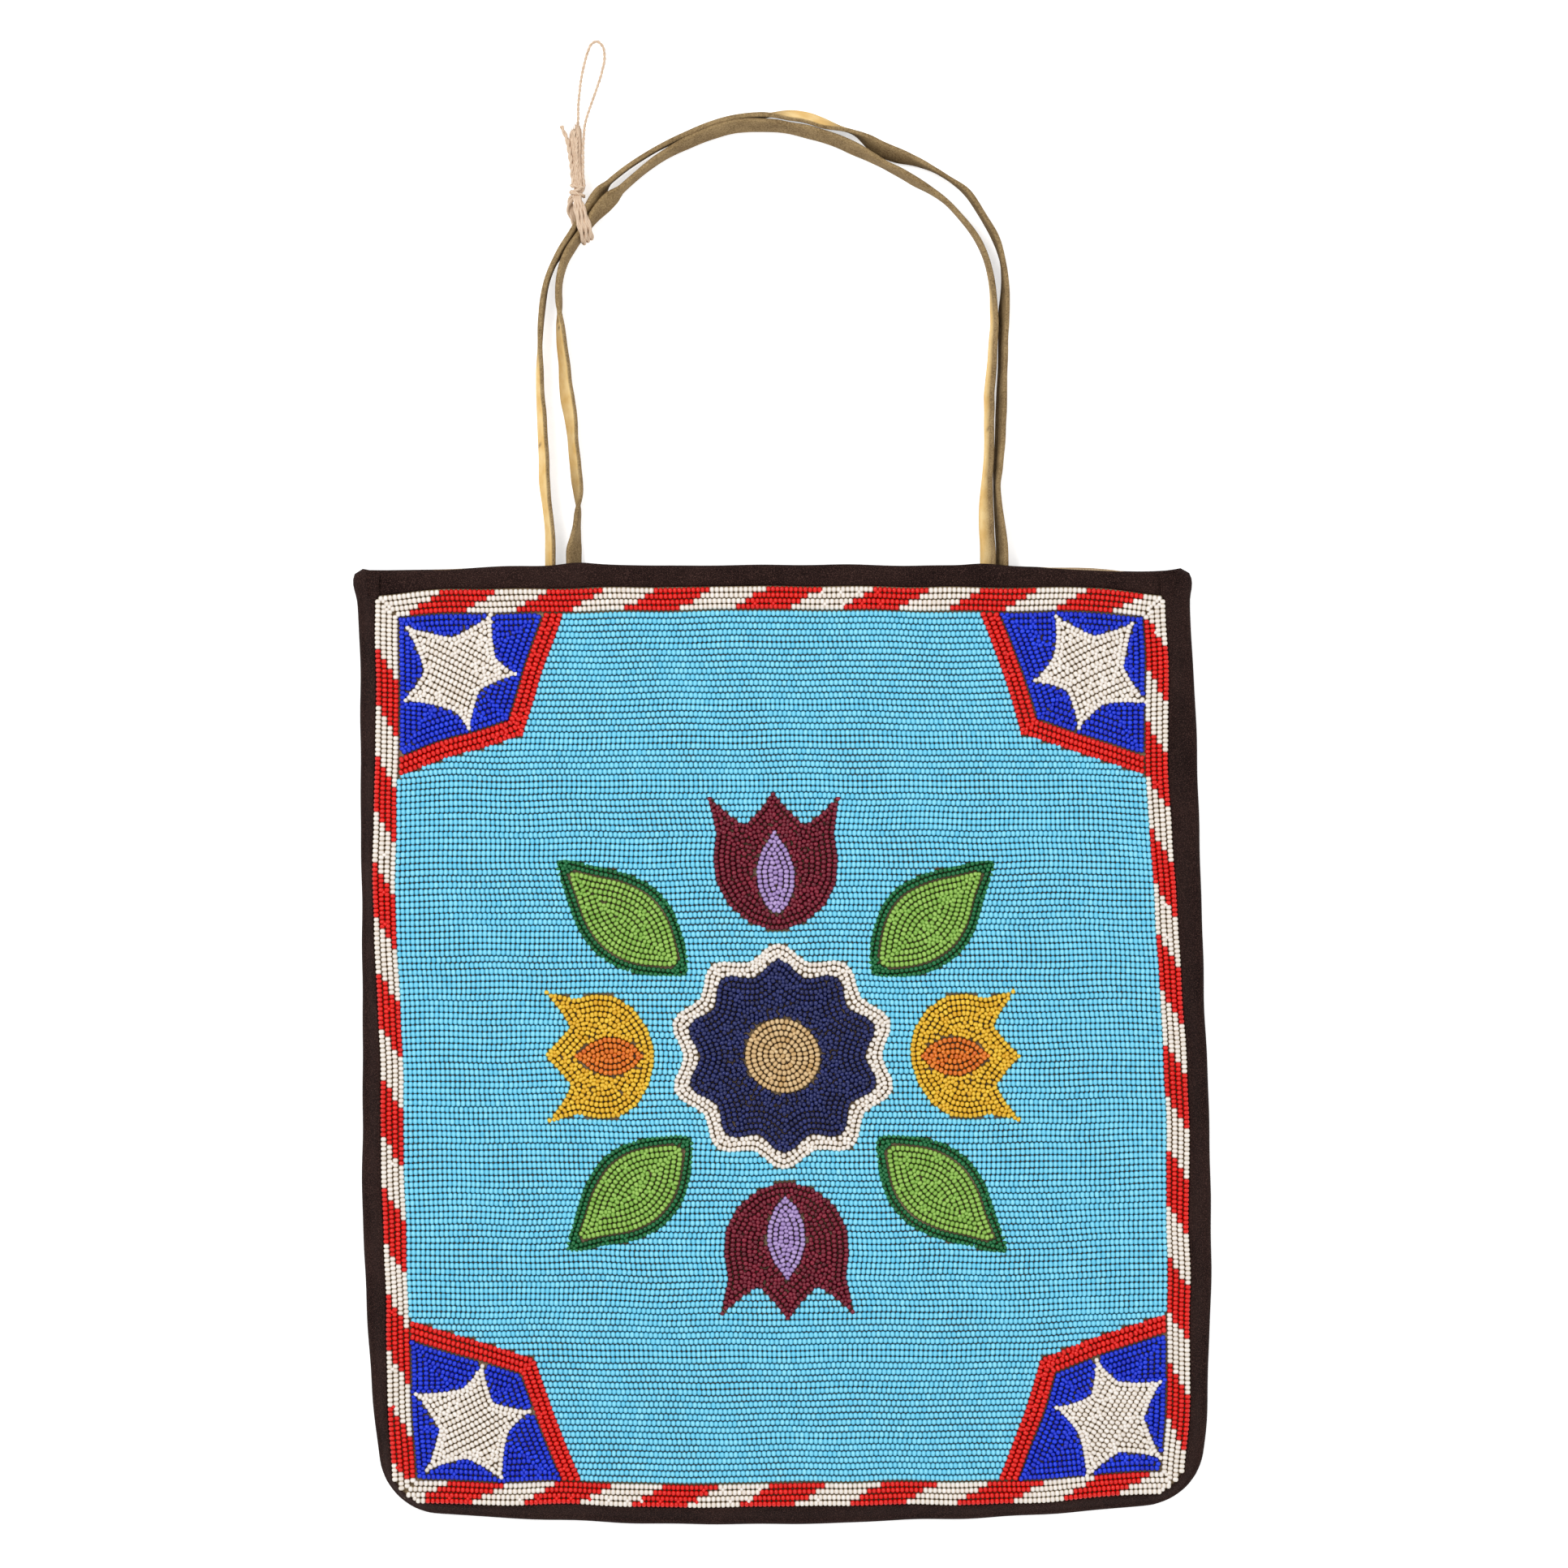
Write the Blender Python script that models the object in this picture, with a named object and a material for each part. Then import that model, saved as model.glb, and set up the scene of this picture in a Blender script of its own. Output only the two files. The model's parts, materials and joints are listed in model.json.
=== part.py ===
"""A beaded flat bag: two cloth faces bound together on three sides, a beaded front, a hemmed mouth,
two leather handle straps sewn into the mouth, and a twine hang loop tied round the straps.

Metres, +Z up. The bag lies on its back. The origin is the middle of the back face, +Y points to the mouth
and the handles, and +X points right as the beaded face is looked at. Z goes up through the layers.
Each layer of cloth is a tray: flat in the middle, and gathered at the edge, where the binding holds all
the layers together. Flat bead areas are plates that stand on the canvas."""

import math

import bmesh
import bpy
from mathutils import Vector

# Pouch
POUCH_WIDTH = 0.280
POUCH_HEIGHT = 0.322
POUCH_LEAN = 0.0075  # the mouth stands this far to the left of the bottom
CORNER_RADIUS = 0.018
BINDING_WIDTH = 0.0058
HEM_WIDTH = 0.0074

# Layers, by thickness
CLOTH_THICKNESS = 0.0006
BACK_THICKNESS = 0.0008
LINING_THICKNESS = 0.0004
CANVAS_THICKNESS = 0.0008
BEAD_HEIGHT = 0.0020
CLEARANCE = 0.0003
MOUTH_GAP = 0.0046  # between the two hems
BACK_STEP_RUN = 0.0015  # the back eases down to the rest face over this much
BINDING_BEND = 0.0006  # outer rounding of the folded binding

# Sky blue field: level rows of beads
ROW_PITCH = 0.0021
ROW_GROOVE_DEPTH = 0.0009  # from a row's crest down to its thread
CUT_OVERRUN = 0.0005

# Beaded border: lanes of beads along each side, with slanting stripes
BORDER_WIDTH = 0.0078
LANE_COUNT = 4
STRIPE_RISE = 0.0003
STRIPE_MARGIN = 0.0002
STRIPE_PITCH = 0.0366
STRIPE_RUN = 0.0189
STRIPE_SLANT = 0.0034  # each lane's stripe starts this much further on
TOP_STRIPE_START = 0.0218
BOTTOM_STRIPE_START = 0.0074
LEFT_STRIPE_START = 0.0186
RIGHT_STRIPE_START = 0.0172

# Corner blocks: blue ground with a white star, edged in red
BLOCK_SPAN = 0.0485
EDGING_WIDTH = 0.0063
STAR_INSET = 0.0019125  # from the sides of the block that meet the border to the star's reach
STAR_ARM_DEPTH = 0.0075  # from the tips in to the corners between the arms
STAR_POINTS = 5
STAR_TURN = math.radians(64)

# Flower medallion in the middle of the field
MEDALLION_RISE = -0.004
ROSETTE_CENTRE_RADIUS = 0.0125
ROSETTE_PETAL_RADIUS = 0.0300
ROSETTE_PETALS = 10
PETAL_SCALLOP = 0.0026
RIM_WIDTH = 0.0055
TULIP_GAP = 0.0040
TALL_TULIP_LENGTH = 0.046
WIDE_TULIP_LENGTH = 0.037
TULIP_HALF_WIDTH = 0.0225
LEAF_GAP = 0.0044
LEAF_LENGTH = 0.046
LEAF_HALF_WIDTH = 0.0115
LEAF_EDGE_WIDTH = 0.0032
LEAF_TURN = math.radians(48)

# Handle straps
STRAP_WIDTH = 0.0075
STRAP_THICKNESS = 0.0026
STRAP_INSET = 0.06375  # from each side of the pouch to a root of the back handle
STRAP_RISE = 0.1534  # from the mouth to the top of the back handle
STRAP_SHIFT = 0.003  # the handles sit this far right of the mouth's middle
STRAP_CHAMFER = 0.0006
TAB_LENGTH = 0.018
TAB_BEND_RUN = 0.005
ROOT_LENGTH = 0.008

# Twine
TWINE_DIAMETER = 0.0010
WRAP_TURNS = 4
WRAP_PITCH = 0.0016
WRAP_CLEARANCE = 0.0005
WRAP_REACH = 0.0014  # the turns draw together towards the knot over this much
WRAP_TIP = 0.0024  # half their height where they meet the knot
KNOT_RADIUS = 0.0022
SHANK_LENGTH = 0.0208
SHANK_RADIUS = 0.0021
TAIL_LENGTH = 0.0068
TAIL_RADIUS = 0.0009
LOOP_POINT_PITCH = 0.0025

# Outlines and tables, as shares of the sizes that they follow
BLOCK_SHARES = ((1.0, 0.0), (0.85, 0.42), (0.75, 0.74), (0.47, 0.83), (0.0, 0.97))
STAR_CENTRE_SHARE = 0.425
TULIP_SHARES = (
    (0.0, 0.12), (0.05, 0.42), (0.17, 0.72), (0.34, 0.90), (0.52, 0.93), (0.70, 0.88), (0.98, 1.0),
    (0.83, 0.66), (0.76, 0.44), (0.88, 0.20), (1.0, 0.0),
)
HEART_SHARES = ((0.10, 0.0), (0.17, 0.16), (0.30, 0.27), (0.44, 0.29), (0.58, 0.20), (0.72, 0.0))
LEAF_SHARES = ((0.0, 0.0), (0.12, 0.50), (0.30, 0.90), (0.48, 1.0), (0.66, 0.82), (0.84, 0.42), (1.0, 0.0))
STRAP_SHARES = (
    (-1.0, 0.0), (-1.0, 0.09), (-1.018, 0.17), (-1.05, 0.34), (-1.058, 0.50), (-1.03, 0.62), (-0.94, 0.72),
    (-0.77, 0.82), (-0.575, 0.90), (-0.33, 0.97), (-0.07, 1.0), (0.16, 0.985), (0.40, 0.945), (0.60, 0.885),
    (0.77, 0.815), (0.91, 0.72), (0.985, 0.61), (1.0, 0.47), (0.985, 0.32), (0.985, 0.2), (1.0, 0.09),
    (1.0, 0.0),
)
STRAP_TILT_SHARES = ((0.0, 0.0), (0.055, 0.0), (0.15, 0.92), (0.80, 1.0), (0.93, 0.0), (1.0, 0.0))
STRAP_APART_SHARES = (
    (0.0, 0.0), (0.06, 0.0), (0.15, 0.35), (0.22, 0.10), (0.33, 0.05), (0.37, 0.10), (0.45, 0.35),
    (0.60, 0.45), (0.75, 0.30), (0.85, 0.25), (0.94, 0.0), (1.0, 0.0),
)
STRAP_LIFT_SHARES = (
    (0.0, 0.0), (0.05, 0.0), (0.2, 1.0), (0.36, 1.0), (0.6, -1.0), (0.8, -1.0), (0.93, 0.0), (1.0, 0.0),
)
CHAMFER_LIMIT_SHARE = 0.6
WRAP_SHARE = 0.288
WRAP_SLANT_SHARE = 0.8
TAIL_PLACE_SHARE = 0.74
CORNER_REACH_SHARE = 0.35  # an outline's sharp corner moves out no more than its edges' distance over this
SHANK_SHARES = ((0.0, 0.75), (0.12, 0.80), (0.35, 1.0), (0.65, 0.95), (0.85, 1.1), (0.97, 1.05), (1.0, 0.7))
TAIL_SHARES = ((0.0, 0.7), (0.3, 1.0), (0.7, 0.8), (1.0, 0.35))

# The loop's route from the shank's top, up one leg, round and down the other: across, along, down
LOOP_ROUTE = (
    (0.0010, 0.0003, 0.0), (0.0010, 0.0040, -0.0003), (0.0014, 0.0090, -0.0010), (0.0020, 0.0140, -0.0018),
    (0.0030, 0.0190, -0.0024), (0.0042, 0.0232, -0.0028), (0.0055, 0.0258, -0.0028), (0.0072, 0.0266, -0.0028),
    (0.0090, 0.0252, -0.0028), (0.0098, 0.0215, -0.0028), (0.0090, 0.0165, -0.0024), (0.0075, 0.0115, -0.0018),
    (0.0059, 0.0068, -0.0010), (0.0046, 0.0030, -0.0004), (0.0038, 0.0005, 0.0), (0.0032, -0.0022, 0.0002),
)

# Counts
CORNER_STEPS = 8
RISE_STEPS = 4
BEND_STEPS = 3
CURVE_STEPS = 16
STRAP_STEPS = 56
KNUCKLE_STEPS = 3
SHANK_SIDES = 10
RIM_POINTS_PER_PETAL = 6

# Heights worked out from the layers
PANEL_EDGE = CLOTH_THICKNESS + CLEARANCE
BACK_LINING_EDGE = PANEL_EDGE + BACK_THICKNESS + CLEARANCE
FRONT_LINING_EDGE = BACK_LINING_EDGE + LINING_THICKNESS + CLEARANCE
CANVAS_EDGE = FRONT_LINING_EDGE + LINING_THICKNESS + CLEARANCE
FLAP_EDGE = CANVAS_EDGE + CANVAS_THICKNESS + CLEARANCE
BACK_HEM_TOP = PANEL_EDGE + BACK_THICKNESS + CLEARANCE + CLOTH_THICKNESS
FRONT_HEM_LOW = BACK_HEM_TOP + MOUTH_GAP
CANVAS_LOW = FRONT_HEM_LOW + CLOTH_THICKNESS + CLEARANCE
BEADS_LOW = CANVAS_LOW + CANVAS_THICKNESS + CLEARANCE
BEADS_TOP = BEADS_LOW + BEAD_HEIGHT
FRONT_RISE = CANVAS_LOW - CANVAS_EDGE
STRAP_LEVEL = (BACK_HEM_TOP + FRONT_HEM_LOW) / 2

# Places in the plane
EDGE_INSET = CLOTH_THICKNESS + CLEARANCE
BEADS_INSET = BINDING_WIDTH + CLEARANCE
MOUTH_Y = POUCH_HEIGHT / 2
BEADS_HALF_WIDTH = POUCH_WIDTH / 2 - BEADS_INSET
BEADS_HIGH_Y = MOUTH_Y - HEM_WIDTH - CLEARANCE
BEADS_LOW_Y = BEADS_INSET - MOUTH_Y
BEADS_CORNER_RADIUS = max(CORNER_RADIUS - BEADS_INSET, CLEARANCE)
LANE_WIDTH = BORDER_WIDTH / LANE_COUNT
FIELD_HALF_WIDTH = BEADS_HALF_WIDTH - BORDER_WIDTH - CLEARANCE
FIELD_HIGH_Y = BEADS_HIGH_Y - BORDER_WIDTH - CLEARANCE
FIELD_LOW_Y = BEADS_LOW_Y + BORDER_WIDTH + CLEARANCE
MITRE_SHIFT = CLEARANCE / math.sqrt(2)
STAR_CENTRE = STAR_CENTRE_SHARE * BLOCK_SPAN
STAR_RADIUS = STAR_CENTRE - STAR_INSET
STAR_WAIST = STAR_RADIUS - STAR_ARM_DEPTH
STRAP_SPAN = POUCH_WIDTH - 2 * STRAP_INSET
STRAP_CENTRE_X = STRAP_SHIFT - POUCH_LEAN / 2
ROOT_AXIS_Y = MOUTH_Y + CLEARANCE + STRAP_THICKNESS / 2
FOLD_AXIS_Y = ROOT_AXIS_Y + ROOT_LENGTH
STRAP_LOW_LEVEL = STRAP_WIDTH / 2 + CLEARANCE
STRAP_WRAP_LEVEL = STRAP_WIDTH / 2 + WRAP_CLEARANCE + TWINE_DIAMETER + CLEARANCE


def material(name, colour, roughness, metallic=0.0):
    """A plain finish: one colour in linear red, green and blue."""
    made = bpy.data.materials.new(name)
    made.use_nodes = True
    shader = made.node_tree.nodes["Principled BSDF"]
    shader.inputs["Base Color"].default_value = (*colour, 1.0)
    shader.inputs["Roughness"].default_value = roughness
    shader.inputs["Metallic"].default_value = metallic
    return made


def axis(name, place, parent=None):
    """An empty on a joint's axis, which carries the pieces that turn there."""
    empty = bpy.data.objects.new(name, None)
    bpy.context.scene.collection.objects.link(empty)
    empty.parent = parent
    held_at = parent["place"] if parent else (0, 0, 0)
    empty.location = Vector(place) - Vector(held_at)
    empty["place"] = place
    return empty


def link(name, data, finish, parent=None):
    """Puts new mesh or curve data in the scene, carried by its parent empty."""
    data.materials.append(finish)
    obj = bpy.data.objects.new(name, data)
    bpy.context.scene.collection.objects.link(obj)
    obj.parent = parent
    return obj


def solid(name, bm, finish, parent=None, smooth=False):
    """Turns a closed bmesh in world places into an object whose origin is its parent's axis."""
    bmesh.ops.recalc_face_normals(bm, faces=bm.faces)
    if parent:
        bmesh.ops.translate(bm, verts=bm.verts, vec=-Vector(parent["place"]))
    mesh = bpy.data.meshes.new(name)
    bm.to_mesh(mesh)
    bm.free()
    if smooth:
        mesh.shade_smooth()
        mesh.set_sharp_from_angle(angle=math.radians(50))
    return link(name, mesh, finish, parent)


def lean(x, y):
    """Moves a point of an upright pouch to where the leaning pouch has it."""
    return x - POUCH_LEAN * y / POUCH_HEIGHT, y


def arc(centre, radius, start, end, steps):
    """Points of an arc, with angles in quarter turns from +X."""
    angles = [math.pi / 2 * (start + (end - start) * i / steps) for i in range(steps + 1)]
    return [(centre[0] + radius * math.cos(a), centre[1] + radius * math.sin(a)) for a in angles]


def smooth_step(share):
    share = min(max(share, 0.0), 1.0)
    return share * share * (3 - 2 * share)


def read_table(table, share):
    """A value from a table of (share along, value), eased between its rows."""
    for (low, first), (high, second) in zip(table, table[1:]):
        if share <= high:
            return first + (second - first) * smooth_step((share - low) / (high - low))
    return table[-1][1]


def smooth_path(points, steps):
    """Points along one smooth curve through the given points, evenly spaced by length."""
    ends = [2 * points[0] - points[1], *points, 2 * points[-1] - points[-2]]
    fine = []
    for before, start, end, after in zip(ends, ends[1:], ends[2:], ends[3:]):
        for i in range(CURVE_STEPS):
            t = i / CURVE_STEPS
            square = (2 * before - 5 * start + 4 * end - after) * t**2
            cube = (3 * start - before - 3 * end + after) * t**3
            fine.append((2 * start + (end - before) * t + square + cube) / 2)
    fine.append(points[-1])
    lengths = [0.0]
    for a, b in zip(fine, fine[1:]):
        lengths.append(lengths[-1] + (b - a).length)
    found, at = [], 0
    for i in range(steps + 1):
        wanted = lengths[-1] * i / steps
        while at < len(fine) - 2 and lengths[at + 1] < wanted:
            at += 1
        share = (wanted - lengths[at]) / (lengths[at + 1] - lengths[at])
        found.append(fine[at].lerp(fine[at + 1], share))
    return found


def grown(outline, distance):
    """A closed outline with every edge moved outwards by a distance."""
    area = sum(a[0] * b[1] - b[0] * a[1] for a, b in zip(outline, outline[1:] + outline[:1]))
    side = 1 if area > 0 else -1
    found = []
    for before, here, after in zip(outline[-1:] + outline[:-1], outline, outline[1:] + outline[:1]):
        into = Vector((here[0] - before[0], here[1] - before[1])).normalized()
        out = Vector((after[0] - here[0], after[1] - here[1])).normalized()
        normal = Vector((into.y + out.y, -into.x - out.x)).normalized() * side
        across = normal.dot(Vector((into.y, -into.x)) * side)
        moved = normal * distance / max(across, CORNER_REACH_SHARE)
        found.append((here[0] + moved.x, here[1] + moved.y))
    return found


def edge_line(inset, top):
    """Down the left side, round both bottom corners and up the right side, inset from the pouch's edge."""
    half = POUCH_WIDTH / 2 - inset
    low = inset - MOUTH_Y
    radius = max(CORNER_RADIUS - inset, CLEARANCE)
    line = [(-half, top)]
    line += arc((radius - half, low + radius), radius, 2, 3, CORNER_STEPS)
    line += arc((half - radius, low + radius), radius, 3, 4, CORNER_STEPS)
    line.append((half, top))
    return [lean(x, y) for x, y in line]


def bridge(bm, first, second, closed=False):
    """Faces between two rows of points."""
    pairs = list(zip(first, first[1:], second, second[1:]))
    if closed:
        pairs.append((first[-1], first[0], second[-1], second[0]))
    for a, b, c, d in pairs:
        bm.faces.new((a, b, d, c))


def tray(name, rings, thickness, finish, hemmed_top=False):
    """One layer of cloth from rings of (inset, top, height), outermost first. With a hemmed top the rings
    close along the mouth too, where the layer steps up as it does at its sides."""
    bm = bmesh.new()
    rows = []
    for inset, top, low in rings:
        line = edge_line(inset, top)
        rows.append([[bm.verts.new((x, y, z)) for x, y in line] for z in (low, low + thickness)])
    for (low, high), (next_low, next_high) in zip(rows, rows[1:]):
        bridge(bm, low, next_low, hemmed_top)
        bridge(bm, high, next_high, hemmed_top)
        if not hemmed_top:
            for end in (0, -1):
                bm.faces.new((low[end], next_low[end], next_high[end], high[end]))
    bridge(bm, *rows[0], closed=hemmed_top)
    low, high = rows[-1]
    bm.faces.new(low)
    bm.faces.new(high)
    if not hemmed_top:
        bm.faces.new((low[0], low[-1], high[-1], high[0]))
    return solid(name, bm, finish, pouch)


def front_rings(edge, top):
    """A front layer rises from the bound edge to the height of the beadwork's ground."""
    rings = []
    for step in range(RISE_STEPS + 1):
        share = step / RISE_STEPS
        inset = EDGE_INSET + (BEADS_INSET - EDGE_INSET) * share
        rings.append((inset, top, edge + FRONT_RISE * smooth_step(share)))
    return rings


def back_rings(edge, top, hem_end):
    """A back layer runs level under the binding and the hem, then steps down to the middle."""
    return (
        (EDGE_INSET, top, edge),
        (BEADS_INSET, hem_end, edge),
        (BEADS_INSET + BACK_STEP_RUN, hem_end - BACK_STEP_RUN, edge - PANEL_EDGE),
    )


def binding_section():
    """The folded strip that binds the edge, as (inset, height) round its C-shaped section."""
    flap_rise = [(inset, low) for inset, _, low in front_rings(FLAP_EDGE, 0)]
    flap_rise[-1] = (BINDING_WIDTH, flap_rise[-1][1])
    top = FLAP_EDGE + CLOTH_THICKNESS
    bend = min(BINDING_BEND, CLOTH_THICKNESS)
    section = [(BINDING_WIDTH, 0)]
    section += arc((bend, bend), bend, -1, -2, BEND_STEPS)
    section += arc((bend, top - bend), bend, 2, 1, BEND_STEPS)
    section += [(inset, low + CLOTH_THICKNESS) for inset, low in flap_rise[1:]]
    section += reversed(flap_rise[1:])
    section += [(CLOTH_THICKNESS, FLAP_EDGE), (CLOTH_THICKNESS, CLOTH_THICKNESS)]
    section.append((BINDING_WIDTH, CLOTH_THICKNESS))
    return section


def edge_binding(finish):
    """The binding runs down one side, round the bottom and up the other."""
    bm = bmesh.new()
    rows = []
    for inset, height in binding_section():
        rows.append([bm.verts.new((x, y, height)) for x, y in edge_line(inset, MOUTH_Y)])
    for first, second in zip(rows, rows[1:] + rows[:1]):
        bridge(bm, first, second)
    for end in (0, -1):
        bm.faces.new([row[end] for row in rows])
    return solid("edge_binding", bm, finish, pouch)


def hem(name, low, high, finish):
    """A strip folded over the mouth's edge: a U lying on its side, open towards the bottom of the bag."""
    inner_y = MOUTH_Y - CLOTH_THICKNESS
    end_y = MOUTH_Y - HEM_WIDTH
    section = (
        (end_y, low), (MOUTH_Y, low), (MOUTH_Y, high), (end_y, high), (end_y, high - CLOTH_THICKNESS),
        (inner_y, high - CLOTH_THICKNESS), (inner_y, low + CLOTH_THICKNESS), (end_y, low + CLOTH_THICKNESS),
    )
    bm = bmesh.new()
    ends = []
    for side in (-1, 1):
        ends.append([bm.verts.new((*lean(side * BEADS_HALF_WIDTH, y), z)) for y, z in section])
    bridge(bm, *ends, closed=True)
    for end in ends:
        bm.faces.new(end)
    return solid(name, bm, finish, pouch)


def plate(name, outline, finish, holes=(), low=BEADS_LOW, high=BEADS_TOP):
    """A flat area of beads, as a filled curve with holes."""
    curve = bpy.data.curves.new(name, "CURVE")
    curve.dimensions = "2D"
    curve.fill_mode = "BOTH"
    curve.extrude = (high - low) / 2
    for loop in (outline, *holes):
        spline = curve.splines.new("POLY")
        spline.points.add(len(loop) - 1)
        for point, (x, y) in zip(spline.points, loop):
            point.co = (*lean(x, y), 0, 1)
        spline.use_cyclic_u = True
    obj = link(name, curve, finish, pouch)
    obj.location.z = (low + high) / 2
    return obj


def lane_reach(near, far, rounded):
    """How far from the corner a lane between two distances from the edge can begin."""
    reach = far
    if rounded and near < BEADS_CORNER_RADIUS:
        drop = BEADS_CORNER_RADIUS - near
        reach = max(reach, BEADS_CORNER_RADIUS - math.sqrt(BEADS_CORNER_RADIUS**2 - drop**2))
    return reach + STRIPE_MARGIN + MITRE_SHIFT


def border_outline(length, round_start, round_end):
    """One side of the border as (along, in from the edge), mitred at both ends."""
    radius = BEADS_CORNER_RADIUS

    def outer(rounded):
        if not rounded:
            return [(MITRE_SHIFT, 0)]
        bend = arc((radius, radius), radius, 2.5, 3, CORNER_STEPS // 2)
        return [(x + MITRE_SHIFT, y) for x, y in bend]

    start = outer(round_start)
    end = [(length - x, y) for x, y in reversed(outer(round_end))]
    inner = BORDER_WIDTH + MITRE_SHIFT
    return start + end + [(length - inner, BORDER_WIDTH), (inner, BORDER_WIDTH)]


def stripe_outlines(length, first, slant, round_start, round_end):
    """The red stripes of one side: the same run of beads in each lane, each lane a step further on."""
    stripes = []
    start = first
    while start < length - STRIPE_RUN / 2:
        near_side, far_side = [], []
        for lane in range(LANE_COUNT):
            near = lane * LANE_WIDTH + (STRIPE_MARGIN if lane == 0 else 0)
            far = (lane + 1) * LANE_WIDTH - (STRIPE_MARGIN if lane == LANE_COUNT - 1 else 0)
            begin = max(start + lane * slant, lane_reach(near, far, round_start))
            finish = min(start + lane * slant + STRIPE_RUN, length - lane_reach(near, far, round_end))
            if finish - begin > LANE_WIDTH:
                near_side += [(begin, near), (begin, far)]
                far_side += [(finish, near), (finish, far)]
        if near_side:
            stripes.append(near_side + far_side[::-1])
        start += STRIPE_PITCH
    return stripes


def prism(bm, outline, low, high):
    """A closed prism over an outline in the plane."""
    corners = [bm.verts.new((*lean(x, y), low)) for x, y in outline]
    raised = bmesh.ops.extrude_face_region(bm, geom=[bm.faces.new(corners)])["geom"]
    lifted = [v for v in raised if isinstance(v, bmesh.types.BMVert)]
    bmesh.ops.translate(bm, verts=lifted, vec=(0, 0, high - low))


def combine(target, tool, operation):
    """Adds one body to another, or cuts it out, and leaves the tool out of what is built."""
    tool.hide_render = True
    tool.display_type = "WIRE"
    step = target.modifiers.new(tool.name, "BOOLEAN")
    step.operation = operation
    step.object = tool


def border(name, to_plane, length, first, slant, round_start, round_end, white, red):
    """A white slab of bead lanes with the red stripes standing a little proud of it."""
    slab_top = BEADS_TOP - STRIPE_RISE
    bm = bmesh.new()
    outline = [to_plane(*point) for point in border_outline(length, round_start, round_end)]
    prism(bm, outline, BEADS_LOW, slab_top)
    slab = solid(name, bm, white, pouch)
    slab.data.materials.append(red)
    bm = bmesh.new()
    for stripe in stripe_outlines(length, first, slant, round_start, round_end):
        prism(bm, [to_plane(*point) for point in stripe], (BEADS_LOW + slab_top) / 2, BEADS_TOP)
    combine(slab, solid(name + "_stripes", bm, red, pouch), "UNION")
    return slab


def borders(white, red):
    half = BEADS_HALF_WIDTH
    wide, tall = 2 * half, BEADS_HIGH_Y - BEADS_LOW_Y
    slant = STRIPE_SLANT
    border("border_top", lambda s, c: (s - half, BEADS_HIGH_Y - c), wide, TOP_STRIPE_START, -slant,
           False, False, white, red)
    border("border_bottom", lambda s, c: (s - half, BEADS_LOW_Y + c), wide, BOTTOM_STRIPE_START, slant,
           True, True, white, red)
    border("border_left", lambda s, c: (c - half, BEADS_HIGH_Y - s), tall, LEFT_STRIPE_START, slant,
           False, True, white, red)
    border("border_right", lambda s, c: (half - c, BEADS_HIGH_Y - s), tall, RIGHT_STRIPE_START, -slant,
           False, True, white, red)


def block_chain(offset):
    """The free edge of a corner block as (in from the side, in from the end), moved outwards by an offset."""
    chain = [(across * BLOCK_SPAN, along * BLOCK_SPAN) for across, along in BLOCK_SHARES]
    lines = []
    for (x, y), (next_x, next_y) in zip(chain, chain[1:]):
        run = Vector((next_x - x, next_y - y)).normalized()
        start = Vector((x, y)) + Vector((run.y, -run.x)) * offset
        lines.append((start, run))
    found = [meet(lines[0], (Vector((0, 0)), Vector((1, 0))))]
    found += [meet(first, second) for first, second in zip(lines, lines[1:])]
    found.append(meet(lines[-1], (Vector((0, 0)), Vector((0, 1)))))
    return found


def meet(first, second):
    """Where two lines cross, each given by a point and a direction."""
    (p, r), (q, s) = first, second
    share = (q - p).cross(s) / r.cross(s)
    point = p + r * share
    return point.x, point.y


def star_outline():
    """The star's corners about its own centre, in the top left block."""
    points = []
    for step in range(2 * STAR_POINTS):
        angle = STAR_TURN + step * math.pi / STAR_POINTS
        reach = STAR_WAIST if step % 2 else STAR_RADIUS
        points.append((reach * math.cos(angle), reach * math.sin(angle)))
    return points


def corner_blocks(blue, white, red):
    """Four mirrored blocks, and the chains that the field is cut back to, in order round the field."""
    cuts = {}
    for tall, side_y, up in (("top", FIELD_HIGH_Y, -1), ("bottom", FIELD_LOW_Y, 1)):
        for wide, right in (("left", 1), ("right", -1)):
            corner_x = -right * FIELD_HALF_WIDTH

            def placed(chain):
                return [(corner_x + right * x, side_y + up * y) for x, y in chain]

            name = f"{tall}_{wide}"
            ground = [(0, 0), *block_chain(0)]
            star = [(STAR_CENTRE + x, STAR_CENTRE - y) for x, y in star_outline()]
            plate(f"star_ground_{name}", placed(ground), blue, [placed(grown(star, CLEARANCE))])
            plate(f"star_{name}", placed(star), white)
            band = block_chain(CLEARANCE) + block_chain(CLEARANCE + EDGING_WIDTH)[::-1]
            plate(f"corner_edging_{name}", placed(band), red)
            cuts[name] = placed(block_chain(2 * CLEARANCE + EDGING_WIDTH))
    return cuts


def petal_ring(radius, scallop):
    """A scalloped circle with one bulge for each petal."""
    count = ROSETTE_PETALS * RIM_POINTS_PER_PETAL
    points = []
    for step in range(count):
        angle = 2 * math.pi * step / count
        reach = radius + scallop * math.cos(ROSETTE_PETALS * angle)
        points.append((reach * math.sin(angle), MEDALLION_RISE + reach * math.cos(angle)))
    return points


def petal_shape(shares, start, length, half_width, angle):
    """A shape that is alike on both sides of its line, which runs outwards from the medallion's centre."""
    left = [(start + along * length, across * half_width) for along, across in shares]
    right = [(along, -across) for along, across in reversed(left) if across > 0]
    outline = left + right
    ahead = Vector((math.sin(angle), math.cos(angle)))
    beside = Vector((-ahead.y, ahead.x))
    places = [ahead * along + beside * across for along, across in outline]
    return [(p.x, MEDALLION_RISE + p.y) for p in places]


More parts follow.
